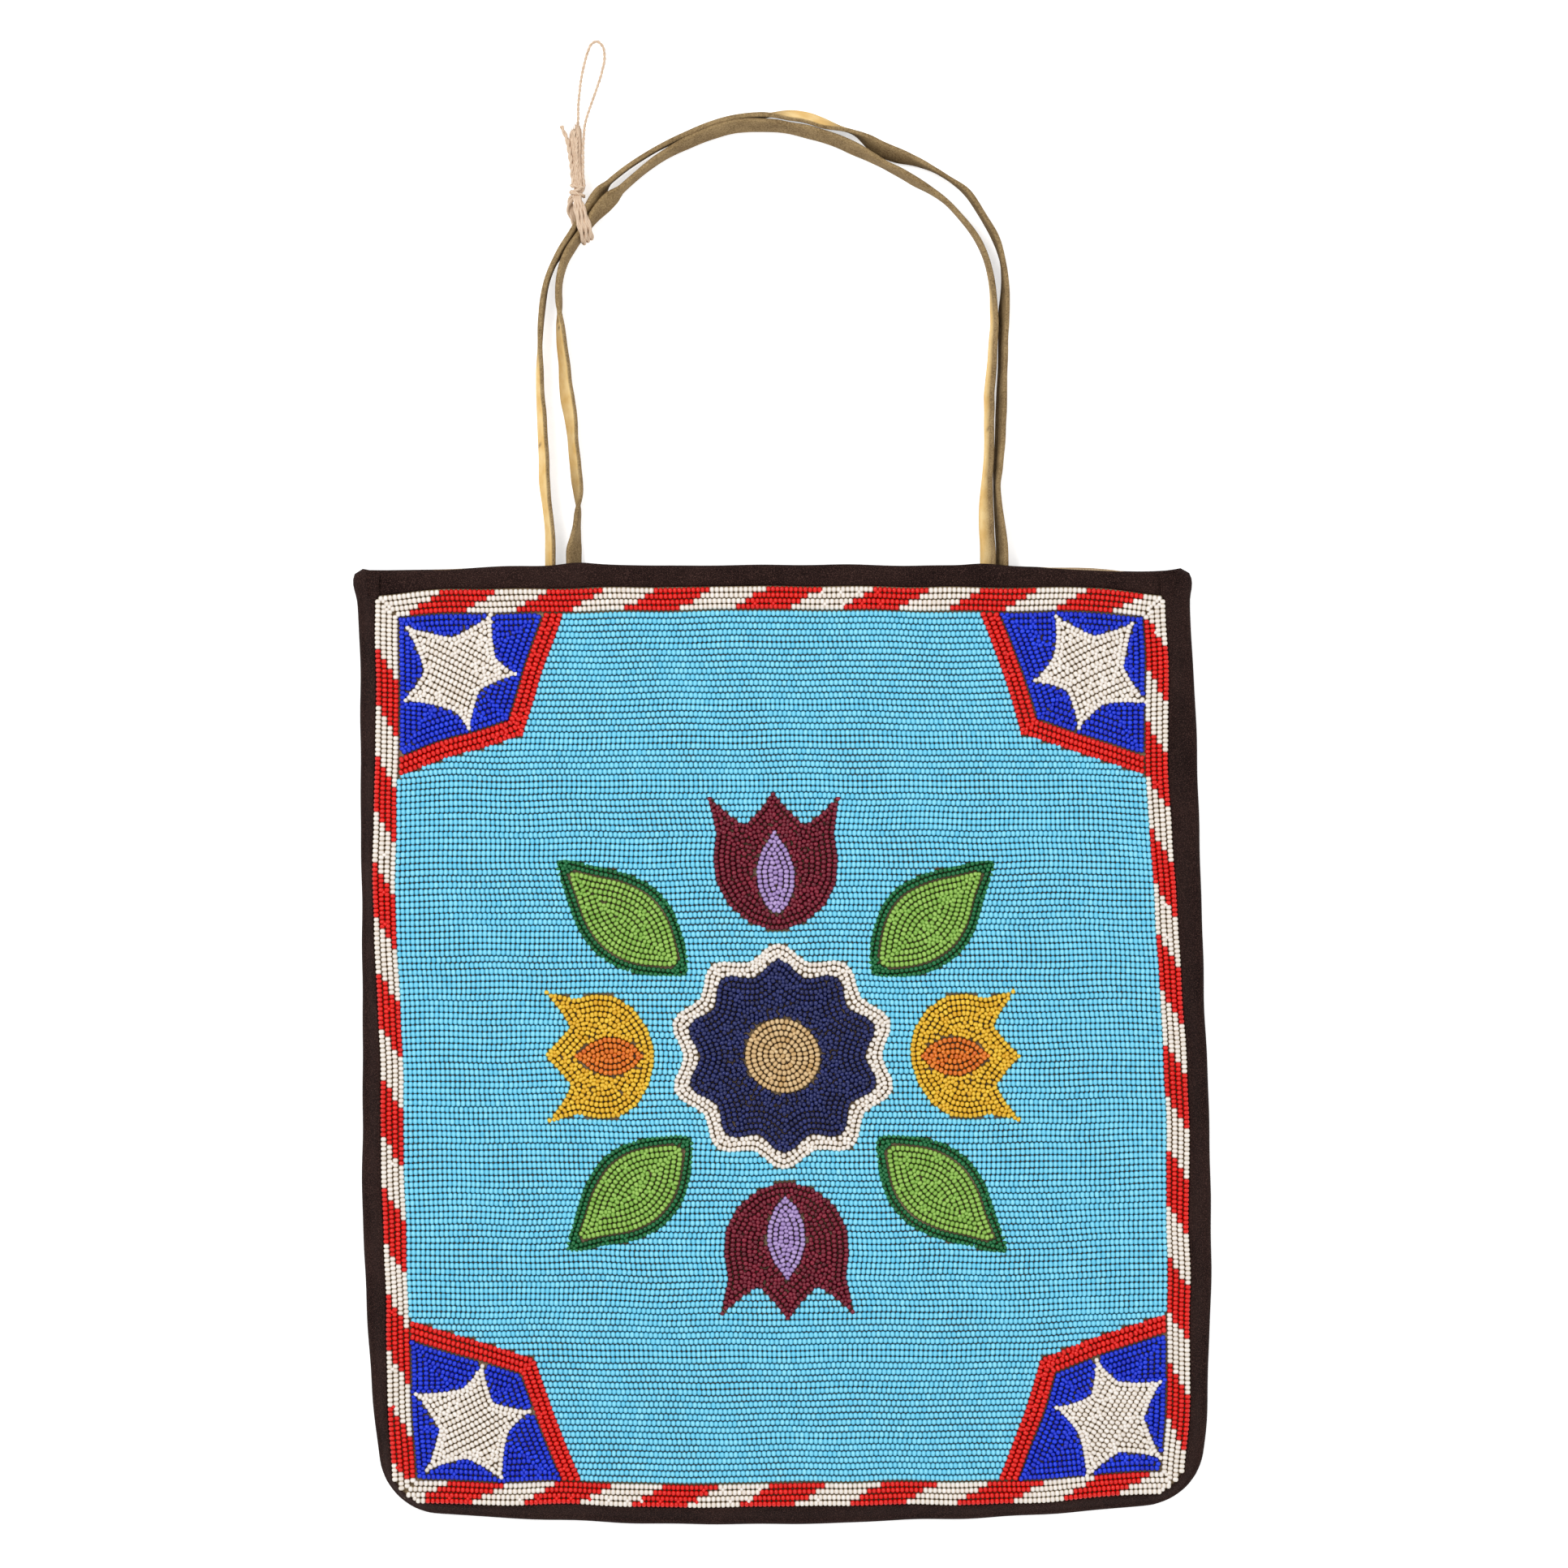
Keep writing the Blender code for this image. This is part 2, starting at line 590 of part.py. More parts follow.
def medallion(colours):
    """A rosette, four tulips and four leaves. Returns the holes that they need in the field."""
    gap = CLEARANCE
    rim_inner = ROSETTE_PETAL_RADIUS + gap
    rim_outer = rim_inner + RIM_WIDTH
    plate("rosette_centre", petal_ring(ROSETTE_CENTRE_RADIUS, 0), colours["cream"])
    plate("rosette_petals", petal_ring(ROSETTE_PETAL_RADIUS, PETAL_SCALLOP), colours["navy"],
          [petal_ring(ROSETTE_CENTRE_RADIUS + gap, 0)])
    plate("rosette_rim", petal_ring(rim_outer, PETAL_SCALLOP), colours["white"],
          [petal_ring(rim_inner, PETAL_SCALLOP)])
    holes = [petal_ring(rim_outer + gap, PETAL_SCALLOP)]
    reach = rim_outer + PETAL_SCALLOP
    tulips = (
        ("top", 0, TALL_TULIP_LENGTH, "burgundy", "lavender"),
        ("right", 1, WIDE_TULIP_LENGTH, "yellow", "orange"),
        ("bottom", 2, TALL_TULIP_LENGTH, "burgundy", "lavender"),
        ("left", 3, WIDE_TULIP_LENGTH, "yellow", "orange"),
    )
    for name, quarter, length, cup, heart in tulips:
        angle = quarter * math.pi / 2
        start = reach + TULIP_GAP
        outline = petal_shape(TULIP_SHARES, start, length, TULIP_HALF_WIDTH, angle)
        inside = petal_shape(HEART_SHARES, start, length, TULIP_HALF_WIDTH, angle)
        plate(f"tulip_cup_{name}", outline, colours[cup], [grown(inside, gap)])
        plate(f"tulip_heart_{name}", inside, colours[heart])
        holes.append(grown(outline, gap))
    corners = (("top_left", 1, -1), ("top_right", 1, 1), ("bottom_left", -1, -1), ("bottom_right", -1, 1))
    for name, up, right in corners:
        angle = right * (LEAF_TURN if up > 0 else math.pi - LEAF_TURN)
        start = reach + LEAF_GAP + LEAF_EDGE_WIDTH
        leaf = petal_shape(LEAF_SHARES, start, LEAF_LENGTH, LEAF_HALF_WIDTH, angle)
        edge = grown(leaf, gap + LEAF_EDGE_WIDTH)
        plate(f"leaf_{name}", leaf, colours["leaf"])
        plate(f"leaf_edge_{name}", edge, colours["dark_leaf"], [grown(leaf, gap)])
        holes.append(grown(leaf, 2 * gap + LEAF_EDGE_WIDTH))
    return holes


def strap_section(width, thickness):
    """A strap's section with softened corners, as (across the width, across the thickness)."""
    w, t = width / 2, thickness / 2
    cut = min(STRAP_CHAMFER, t * CHAMFER_LIMIT_SHARE)
    return (
        (w, t - cut), (w - cut, t), (cut - w, t), (-w, t - cut),
        (-w, cut - t), (cut - w, -t), (w - cut, -t), (w, cut - t),
    )


def sweep(bm, stations):
    """A closed tube of sections, each a row of places."""
    rows = [[bm.verts.new(place) for place in row] for row in stations]
    for first, second in zip(rows, rows[1:]):
        bridge(bm, first, second, closed=True)
    bm.faces.new(rows[0])
    bm.faces.new(rows[-1])


def strap_station(place, ahead, tilt, width, thickness):
    """One section of a strap that lies flat at tilt 0 and stands on its edge at a quarter turn."""
    beside = Vector((-ahead.y, ahead.x, 0))
    up = Vector((0, 0, 1))
    across = beside * math.cos(tilt) + up * math.sin(tilt)
    through = up * math.cos(tilt) - beside * math.sin(tilt)
    return [place + across * u + through * v for u, v in strap_section(width, thickness)]


def knuckle(place, ahead, tip):
    """Sections of a flat strap's end, rounded about the joint's axis so that it turns in place."""
    stations = []
    radius = STRAP_THICKNESS / 2
    for step in range(1, KNUCKLE_STEPS + 1):
        angle = math.pi / 2 * (step - 0.5) / KNUCKLE_STEPS
        at = place - ahead * (tip * radius * math.cos(angle))
        stations.append(strap_station(at, ahead, 0, STRAP_WIDTH, STRAP_THICKNESS * math.sin(angle)))
    return stations if tip > 0 else stations[::-1]


def strap_routes():
    """The two handles' centre lines with their tilt. The front one runs inside the back one."""
    def at(across, along):
        return Vector((STRAP_CENTRE_X + across * STRAP_SPAN / 2, MOUTH_Y + along * STRAP_RISE, 0))

    route = [Vector((at(-1, 0).x, FOLD_AXIS_Y, 0))]
    route += [at(*share) for share in STRAP_SHARES if at(*share).y > FOLD_AXIS_Y + STRAP_THICKNESS]
    route.append(Vector((at(1, 0).x, FOLD_AXIS_Y, 0)))
    back = smooth_path(route, STRAP_STEPS)
    tilts, front, levels = [], [], []
    for step, place in enumerate(back):
        share = step / STRAP_STEPS
        tilt = math.pi / 2 * read_table(STRAP_TILT_SHARES, share)
        reach = abs(math.cos(tilt)) * STRAP_WIDTH + abs(math.sin(tilt)) * STRAP_THICKNESS + CLEARANCE
        reach += read_table(STRAP_APART_SHARES, share) * STRAP_WIDTH
        ahead = (back[min(step + 1, STRAP_STEPS)] - back[max(step - 1, 0)]).normalized()
        if step in (0, STRAP_STEPS):
            ahead = Vector((0, 1 if step == 0 else -1, 0))
        front.append(place + Vector((ahead.y, -ahead.x, 0)) * reach)
        lift = read_table(STRAP_LIFT_SHARES, share)
        level = STRAP_WRAP_LEVEL if lift > 0 else STRAP_LOW_LEVEL
        levels.append(STRAP_LEVEL + (level - STRAP_LEVEL) * abs(lift))
        tilts.append(tilt)
    for route in (back, front):
        for place, level in zip(route, levels):
            place.z = level
    return back, front, tilts


def strap(name, route, tilts, finish, fold_axis):
    """A handle strap between its two fold lines."""
    bm = bmesh.new()
    up, down = Vector((0, 1, 0)), Vector((0, -1, 0))
    stations = knuckle(route[0], up, 1)
    for step in range(1, len(route) - 1):
        ahead = route[step + 1] - route[step - 1]
        ahead.z = 0
        ahead.normalize()
        stations.append(strap_station(route[step], ahead, tilts[step], STRAP_WIDTH, STRAP_THICKNESS))
    stations += knuckle(route[-1], down, -1)
    sweep(bm, stations)
    return solid(name, bm, finish, fold_axis, smooth=True)


def bead_field(outline, holes, finish):
    """The field's level rows of beads, as ribs with a groove at each thread, round the holes for the flowers."""
    bm = bmesh.new()
    prism(bm, outline, BEADS_LOW, BEADS_TOP + CUT_OVERRUN)
    field = solid("sky_blue_field", bm, finish, pouch)
    bm = bmesh.new()
    for hole in holes:
        prism(bm, hole, BEADS_LOW - CUT_OVERRUN, BEADS_TOP + CUT_OVERRUN * 2)
    combine(field, solid("field_holes", bm, finish, pouch), "DIFFERENCE")

    middle = (BEADS_LOW_Y + BEADS_HIGH_Y) / 2
    rows = round((BEADS_HIGH_Y - BEADS_LOW_Y) / ROW_PITCH / 2)
    profile = [(middle + rows * ROW_PITCH, BEADS_TOP + CUT_OVERRUN * 2)]
    profile.append((middle - rows * ROW_PITCH, BEADS_TOP + CUT_OVERRUN * 2))
    for half_row in range(-2 * rows, 2 * rows + 1):
        sunk = ROW_GROOVE_DEPTH if half_row % 2 == 0 else 0
        profile.append((middle + half_row * ROW_PITCH / 2, BEADS_TOP - sunk))
    reach = BEADS_HALF_WIDTH + POUCH_LEAN
    bm = bmesh.new()
    ends = [[bm.verts.new((side * reach, y, z)) for y, z in profile] for side in (-1, 1)]
    bridge(bm, *ends, closed=True)
    for end in ends:
        bm.faces.new(end)
    combine(field, solid("field_grooves", bm, finish, pouch), "DIFFERENCE")
    return field


def strap_roots(side, route, finish, root_axis):
    """The sewn end inside the mouth and the short root outside it, at both ends of one handle."""
    inner = CLEARANCE + STRAP_THICKNESS / 2
    held = FRONT_HEM_LOW - inner if side == "front" else BACK_HEM_TOP + inner
    up = Vector((0, 1, 0))
    for hand, end in (("left", route[0]), ("right", route[-1])):
        places = (
            Vector((end.x, MOUTH_Y - TAB_LENGTH, held)), Vector((end.x, MOUTH_Y - TAB_BEND_RUN, held)),
            Vector((end.x, MOUTH_Y, STRAP_LEVEL)),
        )
        bm = bmesh.new()
        sweep(bm, [strap_station(place, up, 0, STRAP_WIDTH, STRAP_THICKNESS) for place in places])
        solid(f"strap_end_{side}_{hand}", bm, finish, pouch, smooth=True)
        start = Vector((end.x, ROOT_AXIS_Y, STRAP_LEVEL))
        stop = Vector((end.x, FOLD_AXIS_Y - STRAP_THICKNESS / 2 - CLEARANCE, STRAP_LEVEL))
        bm = bmesh.new()
        stations = knuckle(start, up, 1)
        stations.append(strap_station(stop, up, 0, STRAP_WIDTH, STRAP_THICKNESS))
        sweep(bm, stations)
        solid(f"strap_root_{side}_{hand}", bm, finish, root_axis, smooth=True)


def tube(name, places, radius, finish, parent):
    """A round cord along a row of places."""
    curve = bpy.data.curves.new(name, "CURVE")
    curve.dimensions = "3D"
    curve.bevel_depth = radius
    curve.bevel_resolution = 2
    curve.use_fill_caps = True
    spline = curve.splines.new("POLY")
    spline.points.add(len(places) - 1)
    held_at = Vector(parent["place"])
    for point, place in zip(spline.points, places):
        point.co = (*(place - held_at), 1)
    return link(name, curve, finish, parent)


def taut_line(corners, distance):
    """A closed line drawn taut round a convex outline, at a distance from it."""
    line = []
    for before, here, after in zip(corners[-1:] + corners[:-1], corners, corners[1:] + corners[:1]):
        start = math.atan2(before[0] - here[0], here[1] - before[1])
        end = math.atan2(here[0] - after[0], after[1] - here[1])
        end += 2 * math.pi if end < start else 0
        line += arc(here, distance, start * 2 / math.pi, end * 2 / math.pi, 2)
    return line


def wrap_places(back, front, tilts):
    """A function that gives a place near the bound straps, from how far along them, across them and up it is,
    and half the width that the two straps take together."""
    middle = [(a + b) / 2 for a, b in zip(back, front)]
    length = sum((b - a).length for a, b in zip(middle, middle[1:]))
    step = round(WRAP_SHARE * STRAP_STEPS)
    half_wide = (back[step] - front[step]).length / 2
    half_wide += (math.cos(tilts[step]) * STRAP_WIDTH + math.sin(tilts[step]) * STRAP_THICKNESS) / 2

    def place(along, across, up):
        at = (WRAP_SHARE + along / length) * STRAP_STEPS
        low = int(at)
        point = middle[low].lerp(middle[low + 1], at - low)
        ahead = (middle[low + 2] - middle[low - 1]).normalized()
        return point + Vector((-ahead.y, ahead.x, 0)) * across + Vector((0, 0, up))

    return place, half_wide


def twine_wrap(place, half_wide, finish, parent):
    """Turns of twine round both straps, slanting, and drawn together on the side of the knot."""
    half_tall = STRAP_WIDTH / 2
    tip = half_wide + WRAP_REACH
    corners = [(-half_wide, -half_tall), (half_wide, -half_tall), (tip, -WRAP_TIP), (tip, WRAP_TIP),
               (half_wide, half_tall), (-half_wide, half_tall)]
    one_turn = taut_line(corners, WRAP_CLEARANCE + TWINE_DIAMETER / 2)
    places = []
    for step in range(WRAP_TURNS * len(one_turn) + 1):
        across, up = one_turn[step % len(one_turn)]
        along = (step / len(one_turn) - WRAP_TURNS / 2) * WRAP_PITCH + WRAP_SLANT_SHARE * across
        places.append(place(along, across, up))
    print("twine wrap: least gap between turns", round((WRAP_PITCH - TWINE_DIAMETER) * 1000, 2), "mm")
    return tube("twine_wrap", places, TWINE_DIAMETER / 2, finish, parent)


def ball(name, place, size, finish, parent):
    bm = bmesh.new()
    bmesh.ops.create_icosphere(bm, subdivisions=2, radius=1)
    for vertex in bm.verts:
        vertex.co = Vector(place) + Vector([a * b for a, b in zip(vertex.co, size)])
    return solid(name, bm, finish, parent, smooth=True)


def bundle(name, start, end, shares, radius, finish, parent):
    """A bundle of strands with a swelling outline."""
    bm = bmesh.new()
    ahead = (end - start).normalized()
    beside = Vector((-ahead.y, ahead.x, 0)).normalized()
    up = beside.cross(-ahead).normalized()
    stations = []
    for share, size in shares:
        centre = start.lerp(end, share)
        row = []
        for side in range(SHANK_SIDES):
            angle = 2 * math.pi * side / SHANK_SIDES
            across, high = radius * size * math.cos(angle), radius * size * math.sin(angle)
            row.append(centre + beside * across + up * high)
        stations.append(row)
    sweep(bm, stations)
    return solid(name, bm, finish, parent, smooth=True)


def twine(back, front, tilts, finish, fold_axis):
    """The wrap and knot on the straps, and the shank, tails and loop that swing from the knot."""
    place, half_wide = wrap_places(back, front, tilts)
    twine_wrap(place, half_wide, finish, fold_axis)
    out = half_wide + WRAP_REACH + WRAP_CLEARANCE + TWINE_DIAMETER + CLEARANCE + KNOT_RADIUS
    knot = place(WRAP_SLANT_SHARE * out, out, 0)
    ball("twine_knot", knot, (KNOT_RADIUS, KNOT_RADIUS, KNOT_RADIUS), finish, fold_axis)
    base_radius = SHANK_RADIUS * SHANK_SHARES[0][1]
    hinge = knot + Vector((0, KNOT_RADIUS + CLEARANCE + base_radius, 0))
    swing = axis("loop_axis", tuple(hinge), fold_axis)
    top = hinge + Vector((0, SHANK_LENGTH, 0))
    top.z = hinge.z - SHANK_RADIUS
    rounded = []
    for step in range(KNUCKLE_STEPS):
        angle = math.pi / 2 * (step + 0.5) / KNUCKLE_STEPS
        rounded.append((-base_radius * math.cos(angle) / SHANK_LENGTH, SHANK_SHARES[0][1] * math.sin(angle)))
    bundle("twine_shank", hinge, top, (*rounded, *SHANK_SHARES), SHANK_RADIUS, finish, swing)
    tail_foot = hinge.lerp(top, TAIL_PLACE_SHARE) - Vector((SHANK_RADIUS + TAIL_RADIUS + 2 * CLEARANCE, 0, 0))
    tail_tip = tail_foot + Vector((-TAIL_LENGTH / 2, TAIL_LENGTH, 0))
    bundle("twine_tail", tail_foot, tail_tip, TAIL_SHARES, TAIL_RADIUS, finish, swing)
    route = [top + Vector((x, y, z)) for x, y, z in LOOP_ROUTE]
    length = sum((b - a).length for a, b in zip(route, route[1:]))
    places = smooth_path(route, round(length / LOOP_POINT_PITCH))
    tube("twine_loop", places, TWINE_DIAMETER / 2, finish, swing)


def main():
    global pouch
    for obj in list(bpy.data.objects):
        bpy.data.objects.remove(obj, do_unlink=True)
    pouch = axis("pouch", (0, 0, 0))

    cloth = material("brown broadcloth", (0.024, 0.010, 0.009), 0.9)
    lining = material("cotton lining", (0.30, 0.22, 0.15), 0.85)
    canvas = material("tent canvas", (0.42, 0.33, 0.24), 0.9)
    sky_blue = material("sky blue glass beads", (0.15, 0.56, 0.79), 0.25)
    red = material("red glass beads", (0.69, 0.014, 0.012), 0.25)
    blue = material("cobalt glass beads", (0.010, 0.023, 0.58), 0.25)
    white = material("white glass beads", (0.78, 0.73, 0.67), 0.3)
    colours = {
        "cream": material("cream glass beads", (0.62, 0.45, 0.27), 0.3),
        "navy": material("navy glass beads", (0.008, 0.010, 0.06), 0.2),
        "white": white,
        "burgundy": material("burgundy glass beads", (0.17, 0.006, 0.022), 0.2),
        "lavender": material("lavender glass beads", (0.42, 0.30, 0.52), 0.3),
        "yellow": material("yellow glass beads", (0.80, 0.52, 0.03), 0.3),
        "orange": material("orange glass beads", (0.78, 0.17, 0.012), 0.3),
        "leaf": material("light green glass beads", (0.21, 0.47, 0.10), 0.3),
        "dark_leaf": material("dark green glass beads", (0.006, 0.10, 0.035), 0.25),
    }
    leather = material("buckskin strap", (0.21, 0.14, 0.05), 0.8)
    hemp = material("hemp twine", (0.48, 0.32, 0.20), 0.9)

    hem_end = MOUTH_Y - HEM_WIDTH - CLEARANCE
    lining_rings = back_rings(BACK_LINING_EDGE, hem_end, hem_end - CLEARANCE)
    tray("back_panel", back_rings(PANEL_EDGE, MOUTH_Y - EDGE_INSET, hem_end), BACK_THICKNESS, cloth, True)
    tray("back_lining", lining_rings, LINING_THICKNESS, lining, True)
    tray("front_lining", front_rings(FRONT_LINING_EDGE, hem_end), LINING_THICKNESS, lining)
    tray("front_canvas", front_rings(CANVAS_EDGE, MOUTH_Y - EDGE_INSET), CANVAS_THICKNESS, canvas)
    edge_binding(cloth)
    hem("top_hem_back", 0, BACK_HEM_TOP, cloth)
    hem("top_hem_front", FRONT_HEM_LOW, BEADS_LOW + CLOTH_THICKNESS, cloth)

    borders(white, red)
    cuts = corner_blocks(blue, white, red)
    holes = medallion(colours)
    outline = cuts["top_left"][::-1] + cuts["top_right"] + cuts["bottom_right"][::-1] + cuts["bottom_left"]
    bead_field(outline, holes, sky_blue)

    back, front, tilts = strap_routes()
    root_axis = axis("root_bend_axis", (0, ROOT_AXIS_Y, STRAP_LEVEL), pouch)
    fold_axis = axis("fold_axis", (0, FOLD_AXIS_Y, STRAP_LEVEL), root_axis)
    strap_roots("back", back, leather, root_axis)
    strap_roots("front", front, leather, root_axis)
    strap("handle_strap_back", back, tilts, leather, fold_axis)
    strap("handle_strap_front", front, tilts, leather, fold_axis)
    twine(back, front, tilts, hemp, fold_axis)


if __name__ == "__main__":
    main()
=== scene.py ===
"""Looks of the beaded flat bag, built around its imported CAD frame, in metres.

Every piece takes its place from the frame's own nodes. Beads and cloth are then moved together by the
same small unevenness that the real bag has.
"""

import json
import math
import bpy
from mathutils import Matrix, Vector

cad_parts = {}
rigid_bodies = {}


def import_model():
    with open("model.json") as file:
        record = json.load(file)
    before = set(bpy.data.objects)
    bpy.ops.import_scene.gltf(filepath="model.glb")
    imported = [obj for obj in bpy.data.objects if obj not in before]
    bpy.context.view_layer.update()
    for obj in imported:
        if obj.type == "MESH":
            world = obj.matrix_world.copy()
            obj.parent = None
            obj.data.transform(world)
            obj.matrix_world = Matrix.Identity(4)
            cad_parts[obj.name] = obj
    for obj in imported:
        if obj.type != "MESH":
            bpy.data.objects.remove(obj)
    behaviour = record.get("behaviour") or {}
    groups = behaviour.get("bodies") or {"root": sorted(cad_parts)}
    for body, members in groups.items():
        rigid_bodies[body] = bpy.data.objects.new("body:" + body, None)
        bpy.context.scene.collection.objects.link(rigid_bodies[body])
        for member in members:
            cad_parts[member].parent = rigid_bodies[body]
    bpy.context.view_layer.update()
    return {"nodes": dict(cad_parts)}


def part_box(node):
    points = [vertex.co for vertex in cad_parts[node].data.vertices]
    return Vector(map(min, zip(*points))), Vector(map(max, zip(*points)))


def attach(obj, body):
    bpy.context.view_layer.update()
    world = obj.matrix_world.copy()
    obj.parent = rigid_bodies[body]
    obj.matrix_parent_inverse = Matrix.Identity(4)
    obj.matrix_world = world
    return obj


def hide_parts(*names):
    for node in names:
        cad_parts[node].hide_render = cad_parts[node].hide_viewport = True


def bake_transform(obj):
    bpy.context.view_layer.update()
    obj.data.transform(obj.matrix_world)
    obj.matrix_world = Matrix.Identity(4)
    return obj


bl_info = {
    "name": "Beaded flat bag",
    "version": (1, 0, 0),
    "blender": (4, 5, 0),
    "location": "3D View > Sidebar > Beaded bag",
    "description": "Dresses the packed frame of a beaded flat bag with beads, cloth, leather and twine",
    "category": "Add Mesh",
}

import bmesh
import bpy
import numpy as np
from bpy.props import FloatProperty, FloatVectorProperty, IntProperty, PointerProperty
from bpy.types import Operator, Panel, PropertyGroup
from mathutils import Vector

for left_over in list(bpy.data.objects):
    bpy.data.objects.remove(left_over)
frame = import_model()
MM = 0.001

# Places that the frame gives
POUCH_LOW, POUCH_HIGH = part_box("edge_binding")
BEADS_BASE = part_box("sky_blue_field")[0].z
BEADS_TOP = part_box("sky_blue_field")[1].z
HEM_LOW, HEM_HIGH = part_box("top_hem_front")
BACK_HEM_LOW, BACK_HEM_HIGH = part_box("top_hem_back")
MOUTH_Y = HEM_HIGH.y
POUCH_HEIGHT = POUCH_HIGH.y - POUCH_LOW.y

# How the CAD frame was laid out
POUCH_WIDTH = 0.280
POUCH_LEAN = 0.0075
POUCH_CORNER = 0.018
BEADS_INSET = 0.0061
EDGE_INSET = 0.0009
HEM_WIDTH = 0.0077
FRONT_RISE = 0.0047
MOUTH_GAP_MIDDLE = 0.0049
ROOT_AXIS_Y = 0.1626
FOLD_AXIS_Y = 0.1706
JOINT_HALF = 0.004
LOOP_TOP = Vector((-0.069559, 0.311438, 0.00345))
LOOP_ROUTE = (
    (0.0010, 0.0003, 0.0), (0.0010, 0.0040, -0.0003), (0.0014, 0.0090, -0.0010), (0.0020, 0.0140, -0.0018),
    (0.0030, 0.0190, -0.0024), (0.0042, 0.0232, -0.0028), (0.0055, 0.0258, -0.0028),
    (0.0072, 0.0266, -0.0028), (0.0090, 0.0252, -0.0028), (0.0098, 0.0215, -0.0028),
    (0.0090, 0.0165, -0.0024), (0.0075, 0.0115, -0.0018), (0.0059, 0.0068, -0.0010),
    (0.0046, 0.0030, -0.0004), (0.0038, 0.0005, 0.0), (0.0032, -0.0022, 0.0002),
)

# How far the real edges lie from straight ones, in millimetres: place along the edge, offset
POUCH_LEFT = (
    (-161, 3.0), (-141, 1.2), (-127, -0.3), (-113, -0.9), (-98, -1.6), (-84, -2.1), (-63, -2.6),
    (-42, -2.2), (-13, -1.3), (15, -0.7), (43, -0.5), (72, 0.1), (100, 0.5), (128, 1.2), (143, 1.0),
    (161, 0.0),
)
POUCH_RIGHT = (
    (-161, -4.0), (-141, -1.0), (-127, 0.5), (-113, 1.1), (-98, 2.0), (-84, 2.8), (-63, 3.2), (-27, 3.3),
    (1, 2.9), (43, 2.5), (86, 2.2), (114, 2.0), (143, 1.3), (161, 0.3),
)
POUCH_TOP = (
    (-144, -1.5), (-126, -2.0), (-113, -1.5), (-99, -0.9), (-85, -0.1), (30, 0.1), (51, -0.4), (65, -0.6),
    (78, -0.3), (92, -0.9), (105, -2.0), (119, -2.3), (133, -1.4), (144, -0.8),
)
POUCH_BOTTOM = (
    (-137, 3.4), (-126, 3.0), (-113, 2.5), (-99, 1.5), (-85, 0.7), (-71, 0.1), (-44, -0.7), (-31, -1.0),
    (10, -0.7), (37, 0.4), (65, 1.2), (92, 2.3), (105, 3.4), (119, 4.8), (133, 6.0), (144, 6.2),
)
BEADS_LEFT = (
    (-155, 0.4), (-141, -0.6), (-127, -1.7), (-98, -1.3), (-70, -1.5), (-42, -1.8), (-13, -1.3), (15, -1.7),
    (43, -2.7), (57, -2.5), (72, -1.9), (86, -1.0), (107, -0.2), (128, 0.3), (153, 0.8),
)
BEADS_RIGHT = (
    (-155, -3.0), (-141, -1.4), (-127, 0.8), (-98, 0.9), (-84, 1.8), (-56, 1.8), (-42, 2.5), (-13, 2.6),
    (15, 1.4), (43, 0.3), (65, -0.3), (86, -1.9), (100, -2.0), (114, -1.2), (128, -0.6), (153, -1.6),
)
BEADS_UPPER = (
    (-138, -3.0), (-126, -1.7), (-113, -0.1), (-99, -0.5), (-58, 0.0), (-31, 0.5), (0, 0.7), (24, 0.8),
    (51, 0.2), (105, 0.2), (119, -1.5), (132, -3.0),
)
BEADS_LOWER = (
    (-131, 0.4), (-120, 0.5), (-99, -0.2), (-71, 0.2), (-44, -0.8), (-17, -0.8), (24, -0.1), (65, 0.0),
    (92, 0.7), (105, 2.3), (119, 3.7), (133, 4.0),
)

